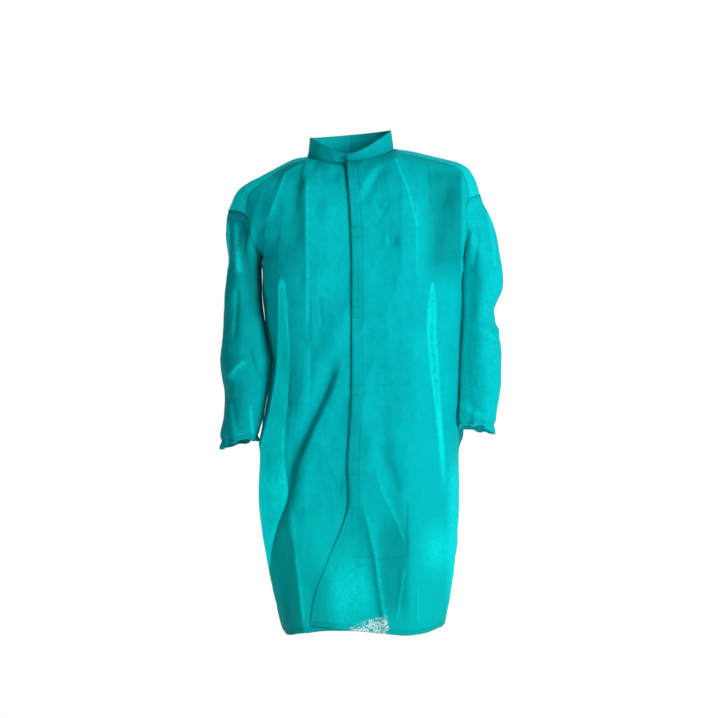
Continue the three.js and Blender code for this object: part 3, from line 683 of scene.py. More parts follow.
FRONT_CREASES = [
    (11, 0.012, 0.055, [(-0.017, -0.455), (-0.038, -0.532), (-0.073, -0.607), (-0.106, -0.688),
                        (-0.124, -0.762), (-0.150, -0.835), (-0.166, -0.890)]),
    (12, 0.016, 0.060, [(-0.131, -0.786), (-0.119, -0.914), (-0.105, -1.043), (-0.101, -1.090)]),
    (6, 0.010, 0.028, [(-0.100, -0.026), (-0.148, -0.056), (-0.169, -0.117), (-0.189, -0.165)]),
    (6, 0.006, 0.030, [(-0.190, -0.160), (-0.191, -0.240), (-0.191, -0.330)]),
    (5, 0.010, 0.028, [(-0.100, -0.050), (-0.100, -0.183), (-0.098, -0.335)]),
    (3, 0.010, 0.010, [(0.048, -0.041), (0.016, -0.095)]),
    (2, 0.006, 0.009, [(0.107, -0.041), (0.107, -0.313)]),
    (2, 0.006, 0.009, [(0.140, -0.052), (0.140, -0.335)]),
    (-4, 0.004, 0.012, [(0.165, -0.039), (0.168, -0.076), (0.170, -0.150)]),
    (5, 0.012, 0.016, [(0.090, -0.008), (0.105, -0.056), (0.118, -0.085), (0.138, -0.156)]),
    (7, 0.030, 0.006, [(0.236, -0.045), (0.238, -0.128), (0.239, -0.300)]),
    (13, 0.010, 0.055, [(0.025, -0.781), (0.050, -0.893), (0.061, -0.973), (0.073, -1.075)]),
    (6, 0.030, 0.010, [(0.052, -0.697), (0.068, -0.753), (0.102, -0.823), (0.116, -0.866)]),
    (-2, 0.004, 0.004, [(0.118, -0.771), (0.118, -0.901)]),
    (2.5, 0.006, 0.014, [(0.113, -0.914), (0.096, -1.036)]),
    (3, 0.006, 0.016, [(0.142, -0.960), (0.142, -1.060)]),
    (-2, 0.003, 0.003, [(-0.013, -0.893), (0.050, -0.896), (0.114, -0.895)]),
    (-2, 0.003, 0.003, [(-0.005, -0.912), (0.060, -0.915)]),
    (-1.4, 0.003, 0.003, [(-0.115, -0.707), (-0.039, -0.712)]),
    (-1.2, 0.003, 0.003, [(0.022, -0.518), (0.131, -0.518)]),
    (-1.6, 0.003, 0.003, [(0.068, -0.755), (0.114, -0.777)]),
    (-1.4, 0.003, 0.003, [(0.030, -0.745), (0.120, -0.790)]),
    (-1.8, 0.004, 0.007, [(-0.060, -0.838), (0.010, -0.850), (0.045, -0.842)]),
    (-1.6, 0.004, 0.006, [(-0.020, -0.868), (0.030, -0.876), (0.100, -0.868)]),
    (-1.8, 0.004, 0.007, [(-0.100, -0.745), (-0.050, -0.752), (-0.015, -0.742)]),
    (-1.6, 0.004, 0.006, [(0.025, -0.345), (0.070, -0.352), (0.125, -0.342)]),
    (-1.6, 0.004, 0.006, [(0.018, -0.400), (0.080, -0.412)]),
    (-1.5, 0.004, 0.006, [(-0.080, -0.300), (-0.040, -0.335), (-0.012, -0.340)]),
    (2, 0.006, 0.006, [(-0.089, -0.320), (-0.087, -0.429)]),
    (-2.5, 0.004, 0.006, [(-0.091, -0.429), (-0.093, -0.585)]),
    (-1.6, 0.003, 0.003, [(-0.075, -0.320), (-0.066, -0.400)]),
    (-1.5, 0.004, 0.004, [(0.045, -0.120), (0.085, -0.165)]),
    (-1.5, 0.004, 0.004, [(0.085, -0.115), (0.050, -0.172)]),
    (-1.5, 0.004, 0.004, [(0.030, -0.160), (0.072, -0.200)]),
    (-1.3, 0.004, 0.004, [(0.020, -0.225), (0.100, -0.205)]),
    (-1.3, 0.004, 0.004, [(0.150, -0.235), (0.185, -0.262)]),
    (1.5, 0.004, 0.004, [(-0.075, -0.640), (-0.028, -0.740)]),
]

# Fine lines where a crease catches the light (positive) or keeps it out: strength, reach, points.
FRONT_LINES = [
    (0.28, 0.0022, [(-0.100, -0.060), (-0.100, -0.183), (-0.098, -0.400)]),
    (0.30, 0.0022, [(0.090, -0.012), (0.105, -0.056), (0.118, -0.085), (0.142, -0.180)]),
    (0.16, 0.0020, [(0.140, -0.110), (0.140, -0.290)]),
    (-0.45, 0.0018, [(0.165, -0.030), (0.168, -0.076), (0.170, -0.130)]),
    (0.30, 0.0030, [(0.025, -0.781), (0.050, -0.893), (0.061, -0.973), (0.073, -1.040)]),
    (0.20, 0.0024, [(0.050, -0.697), (0.066, -0.753), (0.100, -0.823), (0.115, -0.866)]),
    (-0.40, 0.0018, [(0.118, -0.771), (0.118, -0.901)]),
    (0.22, 0.0020, [(0.113, -0.914), (0.096, -1.036)]),
    (0.18, 0.0020, [(0.142, -0.960), (0.142, -1.045)]),
    (-0.30, 0.0018, [(-0.091, -0.429), (-0.093, -0.585)]),
    (0.20, 0.0022, [(-0.131, -0.786), (-0.119, -0.914), (-0.105, -1.043)]),
    (-0.30, 0.0022, [(-0.030, -0.455), (-0.052, -0.532), (-0.088, -0.607), (-0.120, -0.688)]),
    (-0.38, 0.0100, [(-0.028, -0.430), (-0.054, -0.524), (-0.089, -0.601), (-0.122, -0.683),
                     (-0.140, -0.762), (-0.166, -0.829), (-0.182, -0.900)]),
    (0.10, 0.0050, [(-0.017, -0.455), (-0.038, -0.532), (-0.073, -0.607), (-0.106, -0.688)]),
    (0.16, 0.0022, [(-0.100, -0.030), (-0.148, -0.056), (-0.169, -0.117), (-0.189, -0.165)]),
    (-0.22, 0.0016, [(-0.013, -0.893), (0.050, -0.896), (0.114, -0.895)]),
    (-0.22, 0.0016, [(-0.005, -0.912), (0.060, -0.915)]),
    (-0.16, 0.0014, [(-0.115, -0.707), (-0.039, -0.712)]),
    (-0.18, 0.0014, [(0.022, -0.518), (0.131, -0.518)]),
    (-0.16, 0.0014, [(0.068, -0.755), (0.114, -0.777)]),
]


def fine_lines(x, z, rows, fade):
    """The sum of thin soft lines, each fading out over a share of its length at both ends."""
    total = 0
    for strength, reach, line in rows:
        gap, share = to_line(x, z, line)
        ends = smooth(0, fade, share) * smooth(0, fade, 1 - share)
        total = total + strength * np.exp(-((gap / reach) ** 2)) * ends
    return total


def front_marks(x, z, points, side):
    """Marks on a front: painted light where light would shine through it or catch a crease; painted shade in
    its hollows, in the slit by its edge, where the fronts overlap and where the cloth lies in two layers; a
    few dark seam and closure lines; and its thin patch.
    """
    lines = fine_lines(x, z, FRONT_LINES, 0.1)
    # Painted light: long streaks between west and east where light shines through the cloth.
    west = curve([(-0.29, -0.160), (-0.44, -0.163), (-0.55, -0.176), (-0.61, -0.190),
                  (-0.70, -0.215)], z)
    east = curve([(-0.29, -0.150), (-0.44, -0.140), (-0.55, -0.143), (-0.62, -0.150), (-0.70, -0.150),
                  (-0.76, -0.143), (-0.83, -0.166), (-0.884, -0.180), (-0.93, -0.186)], z)
    streak = smooth(west - 0.005, west + 0.002, x) * smooth(east + 0.002, east - 0.003, x)
    glow = 1.7 * streak * smooth(-0.280, -0.330, z) * (1 - 0.35 * smooth(-0.62, -0.75, z))
    glow = glow * (1 - 0.5 * smooth(-0.86, -0.98, z))
    # Painted light: a narrow spike of light through the cloth near the right side; rim, spots, pool and
    # chest are more painted patches of light.
    gap, share = to_line(x, z, [(0.174, -0.290), (0.172, -0.400), (0.179, -0.487),
                                (0.192, -0.618), (0.199, -0.705), (0.201, -0.790)])
    width = 0.0025 + 0.006 * smooth(0, 0.15, share) - 0.003 * smooth(0.3, 0.6, share)
    spike = np.exp(-((gap / width) ** 4)) * smooth(0, 0.05, share) * (1 - smooth(0.5, 1, share))
    rim = smooth(0.200, 0.225, x) * smooth(-0.66, -0.74, z) * 0.35
    spots = 0.30 * np.exp(-(((x - 0.185) / 0.03) ** 2 + ((z + 0.88) / 0.05) ** 2))
    pool = 0.30 * np.exp(-(((x + 0.01) / 0.05) ** 2 + ((z + 0.97) / 0.07) ** 2)) if side > 0 else 0
    chest = 0.07 * np.exp(-(((x + 0.052) / 0.035) ** 2 + ((z + 0.2) / 0.11) ** 2))
    flat = laid_flat(points)
    # Painted shade where the cloth lies in two layers along the facing and its edge; also dark lines at the
    # ends of each closure patch.
    doubled_shade = 0.12 * smooth(0.0215, 0.0195, flat[..., 0])
    step = np.exp(-(((flat[..., 0] - 0.0215) / 0.0016) ** 2))
    doubled_shade = doubled_shade + 0.22 * step * smooth(-0.80, -0.76, z)
    for height, tall in CLOSURES:
        ends = np.exp(-(((np.abs(z - height) - tall / 2) / 0.0016) ** 2))
        doubled_shade = doubled_shade + 0.28 * ends * smooth(0.0215, 0.0195, flat[..., 0])
    # Painted shade where the left front lies over the right one.
    lapped = 0.12 * smooth(0.024, 0.016, x) if side > 0 else 0
    ridge = points[-1:, :, 2] - z
    # Painted highlight: a light band along each shoulder, with a dark seam line just below it.
    shoulder_light = 0.26 * smooth(0.0150, 0.0125, ridge) * smooth(0.095, 0.110, np.abs(x))
    seam = 0.45 * np.exp(-(((ridge - 0.0150) / 0.0017) ** 2)) * smooth(0.095, 0.110, np.abs(x))
    # Painted shade: a band on the left chest, a spot under the collar, the hem band and the left hem corner.
    band = 0.30 * np.exp(-(((x + 0.124) / 0.016) ** 2))
    band = band * smooth(-0.030, -0.070, z) * smooth(-0.300, -0.170, z)
    nook = 0.30 * np.exp(-(((x + 0.070) / 0.026) ** 2 + ((z + 0.040) / 0.016) ** 2))
    hem = 0.25 * smooth(0.0135, 0.0120, flat[..., 1])
    corner = 0.5 * np.exp(-(((x + 0.148) / 0.022) ** 2 + ((z + 1.06) / 0.08) ** 2))
    shade = 0.72 * smooth(0.145, 0.190, x) * smooth(0.242, 0.236, x)
    shade = shade * smooth(-0.040, -0.065, z) * smooth(-0.320, -0.235, z)
    hip = smooth(0.040, 0.075, x) * smooth(0.130, 0.112, x)
    shade = shade + 0.70 * hip * smooth(-0.76, -0.86, z) * smooth(-1.06, -0.98, z)
    thin = np.zeros_like(x)
    if side > 0:
        up = points[:1, :, 2] + 0.018 + 0.030 * smooth(-0.010, 0.070, x)
        thin = smooth(-0.016, 0.004, x) * smooth(0.079, 0.074, x) * smooth(0, 0.026, up - z)
    # More painted shade in hollows of the front.
    nook = nook + 0.30 * np.exp(-(((x + 0.142) / 0.032) ** 2 + ((z + 0.225) / 0.080) ** 2))
    nook = nook + 0.34 * np.exp(-(((x + 0.022) / 0.020) ** 2 + ((z + 0.735) / 0.050) ** 2))
    low = smooth(-0.900, -0.960, z)
    nook = nook + 0.35 * smooth(-0.120, -0.085, x) * smooth(-0.035, -0.060, x) * low
    # Painted shadow in the slit beside the left front's edge, on the right front.
    if side < 0:
        slit = curve(LEFT_EDGE, z) - x
        nook = nook + 0.6 * smooth(0.010, 0.003, slit) * smooth(-0.24, -0.17, z)
    # Painted highlight: a patch of light near the right armhole.
    shoulder_light = shoulder_light + 0.16 * np.exp(-(((x + 0.185) / 0.030) ** 2 + ((z + 0.078) / 0.030) ** 2))
    # Painted highlight along the front's edge below the last closure.
    free_edge = 0.30 * smooth(0.0030, 0.0015, flat[..., 0]) * smooth(-0.78, -0.82, z)
    bright = glow + spike + rim + spots + pool + chest + shoulder_light + free_edge + np.maximum(lines, 0)
    dark = doubled_shade + lapped + hem + corner + shade + seam + band + nook - np.minimum(lines, 0)
    return {"glow": bright, "dim": dark, "thin": thin}


def handled(points, seed):
    """The small sharp crumples of thin stiff cloth: noise folded over at zero."""
    long = np.abs(waves(points * (1, 1, 0.4), seed, 0.10))
    small = np.abs(waves(points * (1, 1, 0.7), seed + 1, 0.045))
    return 0.0011 - 0.0009 * long - 0.0005 * small


def make_front(side):
    columns = np.concatenate([np.linspace(0, U_FOLD, 15), np.linspace(U_FOLD, 1, 24)[1:]])
    u, t = np.meshgrid(columns, ROW_PLACES)
    shape = front(side, u, t)
    x, z = shape[..., 0], shape[..., 2]
    sewn = smooth(2.0, 1.90, t) * smooth(1.0, 0.93, u)
    drapes = sum(drape(x, z, *fold) for fold in FRONT_DRAPES)
    out = drapes * sewn + crumple(shape, 5) * np.maximum(sewn, 0.1)
    start = shape + normals(shape, side) * out[..., None]
    lapped = smooth(-0.030, -0.012, x - curve(LEFT_EDGE, z)) * smooth(0.050, 0.028, x)
    held = np.maximum(0.42, 0.88 * lapped)
    held = np.maximum(held, 1.0 * (1 - sewn))
    points = finer(buckled(start, np.clip(held, 0, 1), (0.020, 0.020, 0.002)), False, FINER)
    x, z = points[..., 0], points[..., 2]
    out = sum(crease(x, z, *fold) for fold in FRONT_CREASES) + handled(points, 91)
    out = out * finer(sewn[..., None], False, FINER)[..., 0]
    return shape, points + normals(points, side) * out[..., None]


def bend_with_front(piece, side):
    """A piece with its transform baked into its mesh; the fold line by the front's side (place and way) is
    worked out but not used.
    """
    place = np.array([side * FOLD_X, -FRONT, -0.5])
    way = np.array([-side * 0.86, -0.51, 0.0])
    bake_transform(piece)


def edge_rows(points, heights):
    """Row places at which a front's edge has these heights."""
    return np.interp(heights, points[:, 0, 2], np.arange(len(points)))


def inset(points, rows, reach):
    """Column places a given reach in from a front's edge."""
    step = laid_flat(points)[:, 1, 0]
    return reach / np.interp(rows, np.arange(len(points)), step)


panels = {}
for side, word in ((1, "left"), (-1, "right")):
    shape, points = make_front(side)
    flat_rows = smooth(0, 0.0012, np.abs(laid_flat(points)[..., 0] - 0.0200))
    facing_edge = smooth(0.0215, 0.0195, laid_flat(points)[..., 0])
    out = normals(points, side)
    points = points + out * (0.0007 * facing_edge - 0.0005 * (1 - flat_rows))[..., None]
    x, z = points[..., 0], points[..., 2]
    marks = front_marks(x, z, points, side)
    panel = cloth_sheet(f"{word}_front", points, shape, side,
                        (f"{word}_front_side", f"{word}_front_flap"), marks)
    bend_with_front(panel, side)
    out = normals(points, side)
    panels[side] = (points, out)
    rows = []
    levels = np.linspace(2.2, len(points) - 3, 400)
    for reach in (0.0022, 0.0185):
        places = inset(points, levels, np.full(400, reach))
        rows.append(stitched(at_places(points, levels, places), at_places(out, levels, places)))
    hem_columns = np.linspace(0.5, points.shape[1] - 1.5, 300)
    hem_rows = np.full(300, 3.6)
    rows.append(stitched(at_places(points, hem_rows, hem_columns),
                         at_places(out, hem_rows, hem_columns)))
    for height, tall in CLOSURES:
        wide = 0.020 if tall < 0.05 else 0.034
        corners = np.array([(0.004, 0.5), (wide, 0.5), (wide, -0.5), (0.004, -0.5), (0.004, 0.5)])
        round_it = np.linspace(0, 4, 81)
        reach = np.interp(round_it, np.arange(5), corners[:, 0])
        level = edge_rows(points, height + tall * np.interp(round_it, np.arange(5), corners[:, 1]))
        places = inset(points, level, reach)
        rows.append(stitched(at_places(points, level, places), at_places(out, level, places),
                             0.003))
    stitches = stitch_object(f"{word}_front_stitches", rows)
    bend_with_front(stitches, side)

    # the facing: a strip of the same cloth inside the edge
    levels = np.linspace(1.5, len(points) - 5, 220)
    reach, level = np.meshgrid(np.linspace(0.0008, 0.030, 8), levels)
    places = inset(points, level, reach)
    behind = at_places(points, level, places) - at_places(out, level, places) * 0.0008
    # Painted shade: the facing is a little darker, as it lies inside the front.
    facing = cloth_sheet(f"{word}_facing_strip", behind, behind, side, (f"{word}_facing",),
                         {"dim": 0.1})
    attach(facing, f"{word}_front")

# ---- the closures ----
# Touch-and-close tape, sewn on in short patches: hooks inside the left edge, loops outside the
# right one. The topmost pair closes the collar.
TAPE = 0.0005  # the tape's backing; the pile stands on top of it
TAPE_DEPTH = {1: -0.0014, -1: 0.0001}  # where a front's tape lies from the middle of its cloth


def tape_material(name, colour, scale):
    made, tree, shader, new = new_material(name)
    place = new.node("ShaderNodeTexCoord", None, 3)
    pile = new.noise(place, scale, 3.0, 0.7)
    # Painted shade in the pile: darker where the pile's bump is low.
    pile_shade = tuple(0.6 * part for part in colour[:3]) + (1,)
    tree.links.new(pile.ramp(0.35, 0.65).blend(pile_shade, colour).socket, shader.inputs["Base Color"])
    bump = new.node("ShaderNodeBump", None, 0, {"Strength": 0.8, "Distance": 0.0009, "Height": pile})
    tree.links.new(bump.socket, shader.inputs["Normal"])
    shader.inputs["Roughness"].default_value = 0.75
    shader.inputs["Specular IOR Level"].default_value = 0.1
    return made


tapes = {1: ("hook", tape_material("hook_tape", (0.02, 0.42, 0.43, 1), 1500.0)),
         -1: ("loop", tape_material("loop_tape", (0.03, 0.50, 0.50, 1), 700.0))}


def tape_patch(side, number, surface, out, bodies):
    """A patch of tape: a slab that follows the cloth, with the pile's tufts on its outer face."""
    kind, material = tapes[side]
    tuft = 0.00018 * np.abs(waves(surface, 70 + number, 0.004))
    top = surface + out * (side * -1) * (TAPE + tuft)[..., None]
    made = grid_object(f"{kind}_tape_{number}", top, -side)
    thickened(made, TAPE)
    made.data.materials.append(material)
    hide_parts(f"{kind}_patch_{number}")
    bodies(made)


for side, word in ((1, "left"), (-1, "right")):
    points, out = panels[side]
    for number, (height, tall) in enumerate(CLOSURES, start=2):
        heights = height + np.linspace(-0.5, 0.5, int(tall * 900)) * tall * 0.9
        reach, level = np.meshgrid(np.linspace(0.0045, 0.0195, 14), edge_rows(points, heights))
        places = inset(points, level, reach)
        way = at_places(out, level, places)
        surface = at_places(points, level, places) + way * TAPE_DEPTH[side]
        tape_patch(side, number, surface, way, lambda made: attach(made, f"{word}_front"))

# ---- the back ----
# One panel from side seam to side seam, hung from the shoulder seams in a few soft drapes.
BACK_CREASES = [
    (5, 0.020, 0.050, [(-0.100, -0.120), (-0.098, -0.420), (-0.106, -0.700)]),
    (4, 0.040, 0.020, [(0.098, -0.100), (0.102, -0.380), (0.096, -0.640)]),
    (6, 0.050, 0.030, [(0.004, -0.300), (-0.012, -0.600), (-0.034, -0.920)]),
    (5, 0.030, 0.050, [(0.070, -0.620), (0.092, -0.800), (0.104, -1.020)]),
    (-5, 0.030, 0.030, [(-0.060, -0.640), (-0.082, -0.820), (-0.090, -1.000)]),
    (-3, 0.012, 0.016, [(-0.170, -0.300), (-0.120, -0.380), (-0.040, -0.420)]),
    (-3, 0.012, 0.016, [(0.190, -0.290), (0.130, -0.360), (0.060, -0.390)]),
    (-2, 0.005, 0.008, [(-0.120, -0.560), (0.020, -0.568), (0.130, -0.558)]),
    (-2, 0.005, 0.008, [(-0.080, -0.805), (0.040, -0.812), (0.150, -0.800)]),
]
BACK_LINE, BACK_LINE_REACH = 0.16, 0.0022  # how bright and how wide the painted highlight along each crease is
u, t = np.meshgrid(np.linspace(0, 1, 70), ROW_PLACES)
shape = back(u, t)
sewn = smooth(2.0, 1.90, t) * smooth(0, 0.06, u) * smooth(0, 0.06, 1 - u)
hang = 0.010 * np.cos(shape[..., 0] * 2 * np.pi / 0.13 + 0.8) * smooth(1.7, 0.2, t)
out = (hang + crumple(shape, 11)) * np.maximum(sewn, 0.05)
start = shape + normals(shape, -1) * out[..., None]
beside = smooth(0.24, 0.17, np.minimum(u, 1 - u)) * smooth(-0.70, -0.62, shape[..., 2])
held = np.maximum(np.maximum(0.38, 1 - sewn), 0.92 * beside)
points = finer(buckled(start, held, (0.025, 0.025, 0.003)))
x, z = points[..., 0], points[..., 2]
out = handled(points, 95) + sum(crease(x, z, *fold) for fold in BACK_CREASES)
out = out * finer(sewn[..., None])[..., 0]
points = points + normals(points, -1) * out[..., None]
back_points, back_out = points, normals(points, -1)
x, z = points[..., 0], points[..., 2]
# Painted light on the back: highlights along its creases, a light band at the shoulders, and light through
# the cloth beside the side seams low down.
lines = fine_lines(x, z, [(BACK_LINE, BACK_LINE_REACH, crest[-1]) for crest in BACK_CREASES], 0.15)
flat = laid_flat(points)
back_shoulder_light = 0.26 * smooth(0.030, 0.002, points[-1:, :, 2] - z) * smooth(0.095, 0.110, np.abs(x))
low = smooth(-0.64, -0.74, z)
aside = 0.75 * smooth(0.060, 0.0, flat[..., 0]) * smooth(-0.98, -0.86, z)
aside = low * (aside + 0.32 * smooth(0.060, 0.0, flat[:, -1:, 0] - flat[..., 0]))
# The back's marks: painted shade along the hem band, and the painted light above.
marks = {"dim": 0.2 * smooth(0.0135, 0.0120, flat[..., 1]), "glow": lines + back_shoulder_light + aside}
piece = cloth_sheet("back", points, shape, -1, ("back_panel",), marks)
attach(piece, "coat_body")
hem_columns = np.linspace(0.5, points.shape[1] - 1.5, 500)
hem_rows = np.full(500, 2.4)
stitches = stitch_object("back_stitches", [stitched(at_places(points, hem_rows, hem_columns),
                                                     at_places(back_out, hem_rows, hem_columns))])
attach(stitches, "coat_body")

# ---- the collar ----
# A stand-up band of cloth folded double, cut in two halves with a seam at the centre back.
COLLAR_FRONT, COLLAR_HEIGHT = 0.015, 0.043  # how tall it stands at the front, and round the back
COLLAR_THICKNESS = 0.0010


def collar(angles, heights, under):
    """The band over the neck edge: leaning in a little at the sides and out at the front."""
    a, v = np.meshgrid(angles, heights)
    share = np.maximum(0, np.sin(a)) ** 2
    lean = mix(-0.005, 0.0105 if under else 0.018, share)
    aside = np.minimum(1, (np.hypot(np.cos(a), 0.2) - 0.2) / 0.78)
    fullness = np.where(np.sin(a) > 0, np.sin(aside * np.pi / 2), 1)
    points = neck_line(a, under) + np.stack([np.cos(a), -np.sin(a), 0 * a], -1) * (lean * v)[..., None]
    points[..., 2] += 0.001 + mix(COLLAR_FRONT, COLLAR_HEIGHT, fullness) * v
    return points


for side, word in ((1, "left"), (-1, "right")):
    edge = np.arccos((-0.008 if side > 0 else 0.013) / NECK_HALF)
    backward = -np.pi / 2 if side > 0 else 1.5 * np.pi
    shape = collar(np.linspace(edge, backward, 38), np.linspace(-0.09, 1, 8), side < 0)
    rise = np.linspace(0, 1, 8)[:, None]
    bend = crumple(shape * 1.6, 51 + side) * 0.7 * smooth(0, 0.3, rise)
    start = shape + normals(shape, side) * bend[..., None]
    points = finer(buckled(start, np.maximum(0.55, 1 - smooth(0, 0.2, rise) + 0 * shape[..., 0]),
                           (0.006, 0.006, 0.006)))
    # Painted shade: both edges of the band are darker, and the left collar more than the right.
    band = laid_flat(points)[..., 1]
    edges = 0.25 * smooth(0.0030, 0.0010, band) + 0.15 * smooth(0.004, 0.002, band.max(0) - band)
    marks = {"dim": (0.28 if side > 0 else 0.16) + edges}
    piece = cloth_sheet(f"{word}_collar", points, shape, side,
                        (f"{word}_collar_end", "collar_back"), marks, COLLAR_THICKNESS)
    bend_with_front(piece, side)
    out = normals(points, side)
    columns = np.linspace(0.3, points.shape[1] - 1.3, 200)
    level = np.full(200, 0.8)
    beads = stitched(at_places(points, level, columns), at_places(out, level, columns))
    stitches = stitch_object(f"{word}_collar_stitches", [beads])
    bend_with_front(stitches, side)
    reach, level = np.meshgrid(np.linspace(0.0008, 0.0185, 12),
                               np.linspace(2, points.shape[0] - 3, 8))
    step = laid_flat(points)[:, 1, 0]
    places = reach / step.mean()
    way = at_places(out, level, places)
    surface = at_places(points, level, places) + way * (-0.0012 if side > 0 else 0.0001)
    tape_patch(side, 1, surface, way, lambda made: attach(made, f"{word}_front"))

# ---- the sleeves ----
# Each sleeve is one tube of cloth set into the dropped armhole; its end is gathered on elastic
# thread that is sewn round the inside, and the cloth beyond it stands out in a small frill.
SLEEVE_FOLDS = {
    1: [(-7, 0.008, 0.016, [(0.273, -0.155), (0.276, -0.198), (0.266, -0.258), (0.245, -0.300)]),
        (8, 0.022, 0.010, [(0.262, -0.170), (0.262, -0.220), (0.250, -0.268)]),
        (7, 0.010, 0.022, [(0.243, -0.372), (0.283, -0.382), (0.325, -0.418)]),
        (-6, 0.014, 0.014, [(0.243, -0.355), (0.283, -0.362), (0.325, -0.395)]),
        (-5, 0.006, 0.010, [(0.232, -0.541), (0.261, -0.563), (0.312, -0.590)]),
        (6, 0.010, 0.016, [(0.232, -0.553), (0.258, -0.577), (0.300, -0.602)]),
        (-5, 0.006, 0.006, [(0.244, -0.440), (0.242, -0.500)]),
        (3, 0.004, 0.010, [(0.290, -0.110), (0.312, -0.230), (0.322, -0.300)])],
    -1: [(-7, 0.006, 0.010, [(-0.256, -0.300), (-0.258, -0.346), (-0.266, -0.430)]),
         (6, 0.010, 0.020, [(-0.225, -0.455), (-0.250, -0.475), (-0.280, -0.512)]),
         (-6, 0.008, 0.008, [(-0.228, -0.440), (-0.219, -0.470), (-0.196, -0.515)]),
         (-9, 0.012, 0.016, [(-0.243, -0.140), (-0.241, -0.227), (-0.216, -0.300)]),
         (5, 0.010, 0.010, [(-0.258, -0.150), (-0.254, -0.280)]),
         (-5, 0.006, 0.010, [(-0.266, -0.140), (-0.264, -0.230)]),
         (5, 0.010, 0.014, [(-0.228, -0.330), (-0.208, -0.420)]),
         (-5, 0.008, 0.014, [(-0.270, -0.540), (-0.262, -0.600), (-0.250, -0.636)]),
         (-4, 0.010, 0.010, [(-0.292, -0.520), (-0.275, -0.560)])],
}

# Painted light (positive) and painted shade (negative) along the sleeves' creases: strength, reach, points.
SLEEVE_LINES = {
    1: [(-0.55, 0.0040, [(0.276, -0.155), (0.279, -0.198), (0.269, -0.258), (0.247, -0.295)]),
        (-0.40, 0.0030, [(0.243, -0.378), (0.283, -0.386), (0.325, -0.412)]),
        (0.14, 0.0040, [(0.250, -0.388), (0.283, -0.396), (0.322, -0.422)]),
        (-0.55, 0.0040, [(0.236, -0.541), (0.261, -0.563), (0.300, -0.582)]),
        (0.14, 0.0030, [(0.232, -0.553), (0.258, -0.577), (0.290, -0.592)]),
        (0.25, 0.0030, [(0.300, -0.120), (0.312, -0.200), (0.316, -0.270)])],
    -1: [(-0.50, 0.0030, [(-0.263, -0.345), (-0.268, -0.380), (-0.271, -0.425)]),
         (0.25, 0.0060, [(-0.236, -0.468), (-0.256, -0.482), (-0.276, -0.507)]),
         (-0.35, 0.0030, [(-0.228, -0.440), (-0.219, -0.470), (-0.200, -0.512)]),
         (0.40, 0.0030, [(-0.279, -0.150), (-0.279, -0.240), (-0.277, -0.270)]),
         (0.30, 0.0070, [(-0.260, -0.150), (-0.258, -0.220), (-0.250, -0.280)]),
         (-0.30, 0.0030, [(-0.285, -0.560), (-0.270, -0.600), (-0.262, -0.640)]),
         (0.25, 0.0030, [(-0.225, -0.560), (-0.223, -0.620), (-0.219, -0.640)])],
}
# Painted shade over the whole right sleeve, and a little painted light over the left one.
SLEEVE_DIM = {1: 0.0, -1: 0.42}
SLEEVE_GLOW = {1: 0.08, -1: 0.0}
CUFF = 12.9  # the sleeve section at which the elastic draws it in
ELASTIC = 0.0009  # its thickness

elastic, tree, shader, new = new_material("elastic")
place = new.node("ShaderNodeTexCoord", None, 3)
cords = new.noise(place, 800.0, 2.0)
tree.links.new(cords.blend((0.28, 0.42, 0.41, 1), (0.55, 0.66, 0.64, 1)).socket, shader.inputs["Base Color"])
shader.inputs["Roughness"].default_value = 0.7

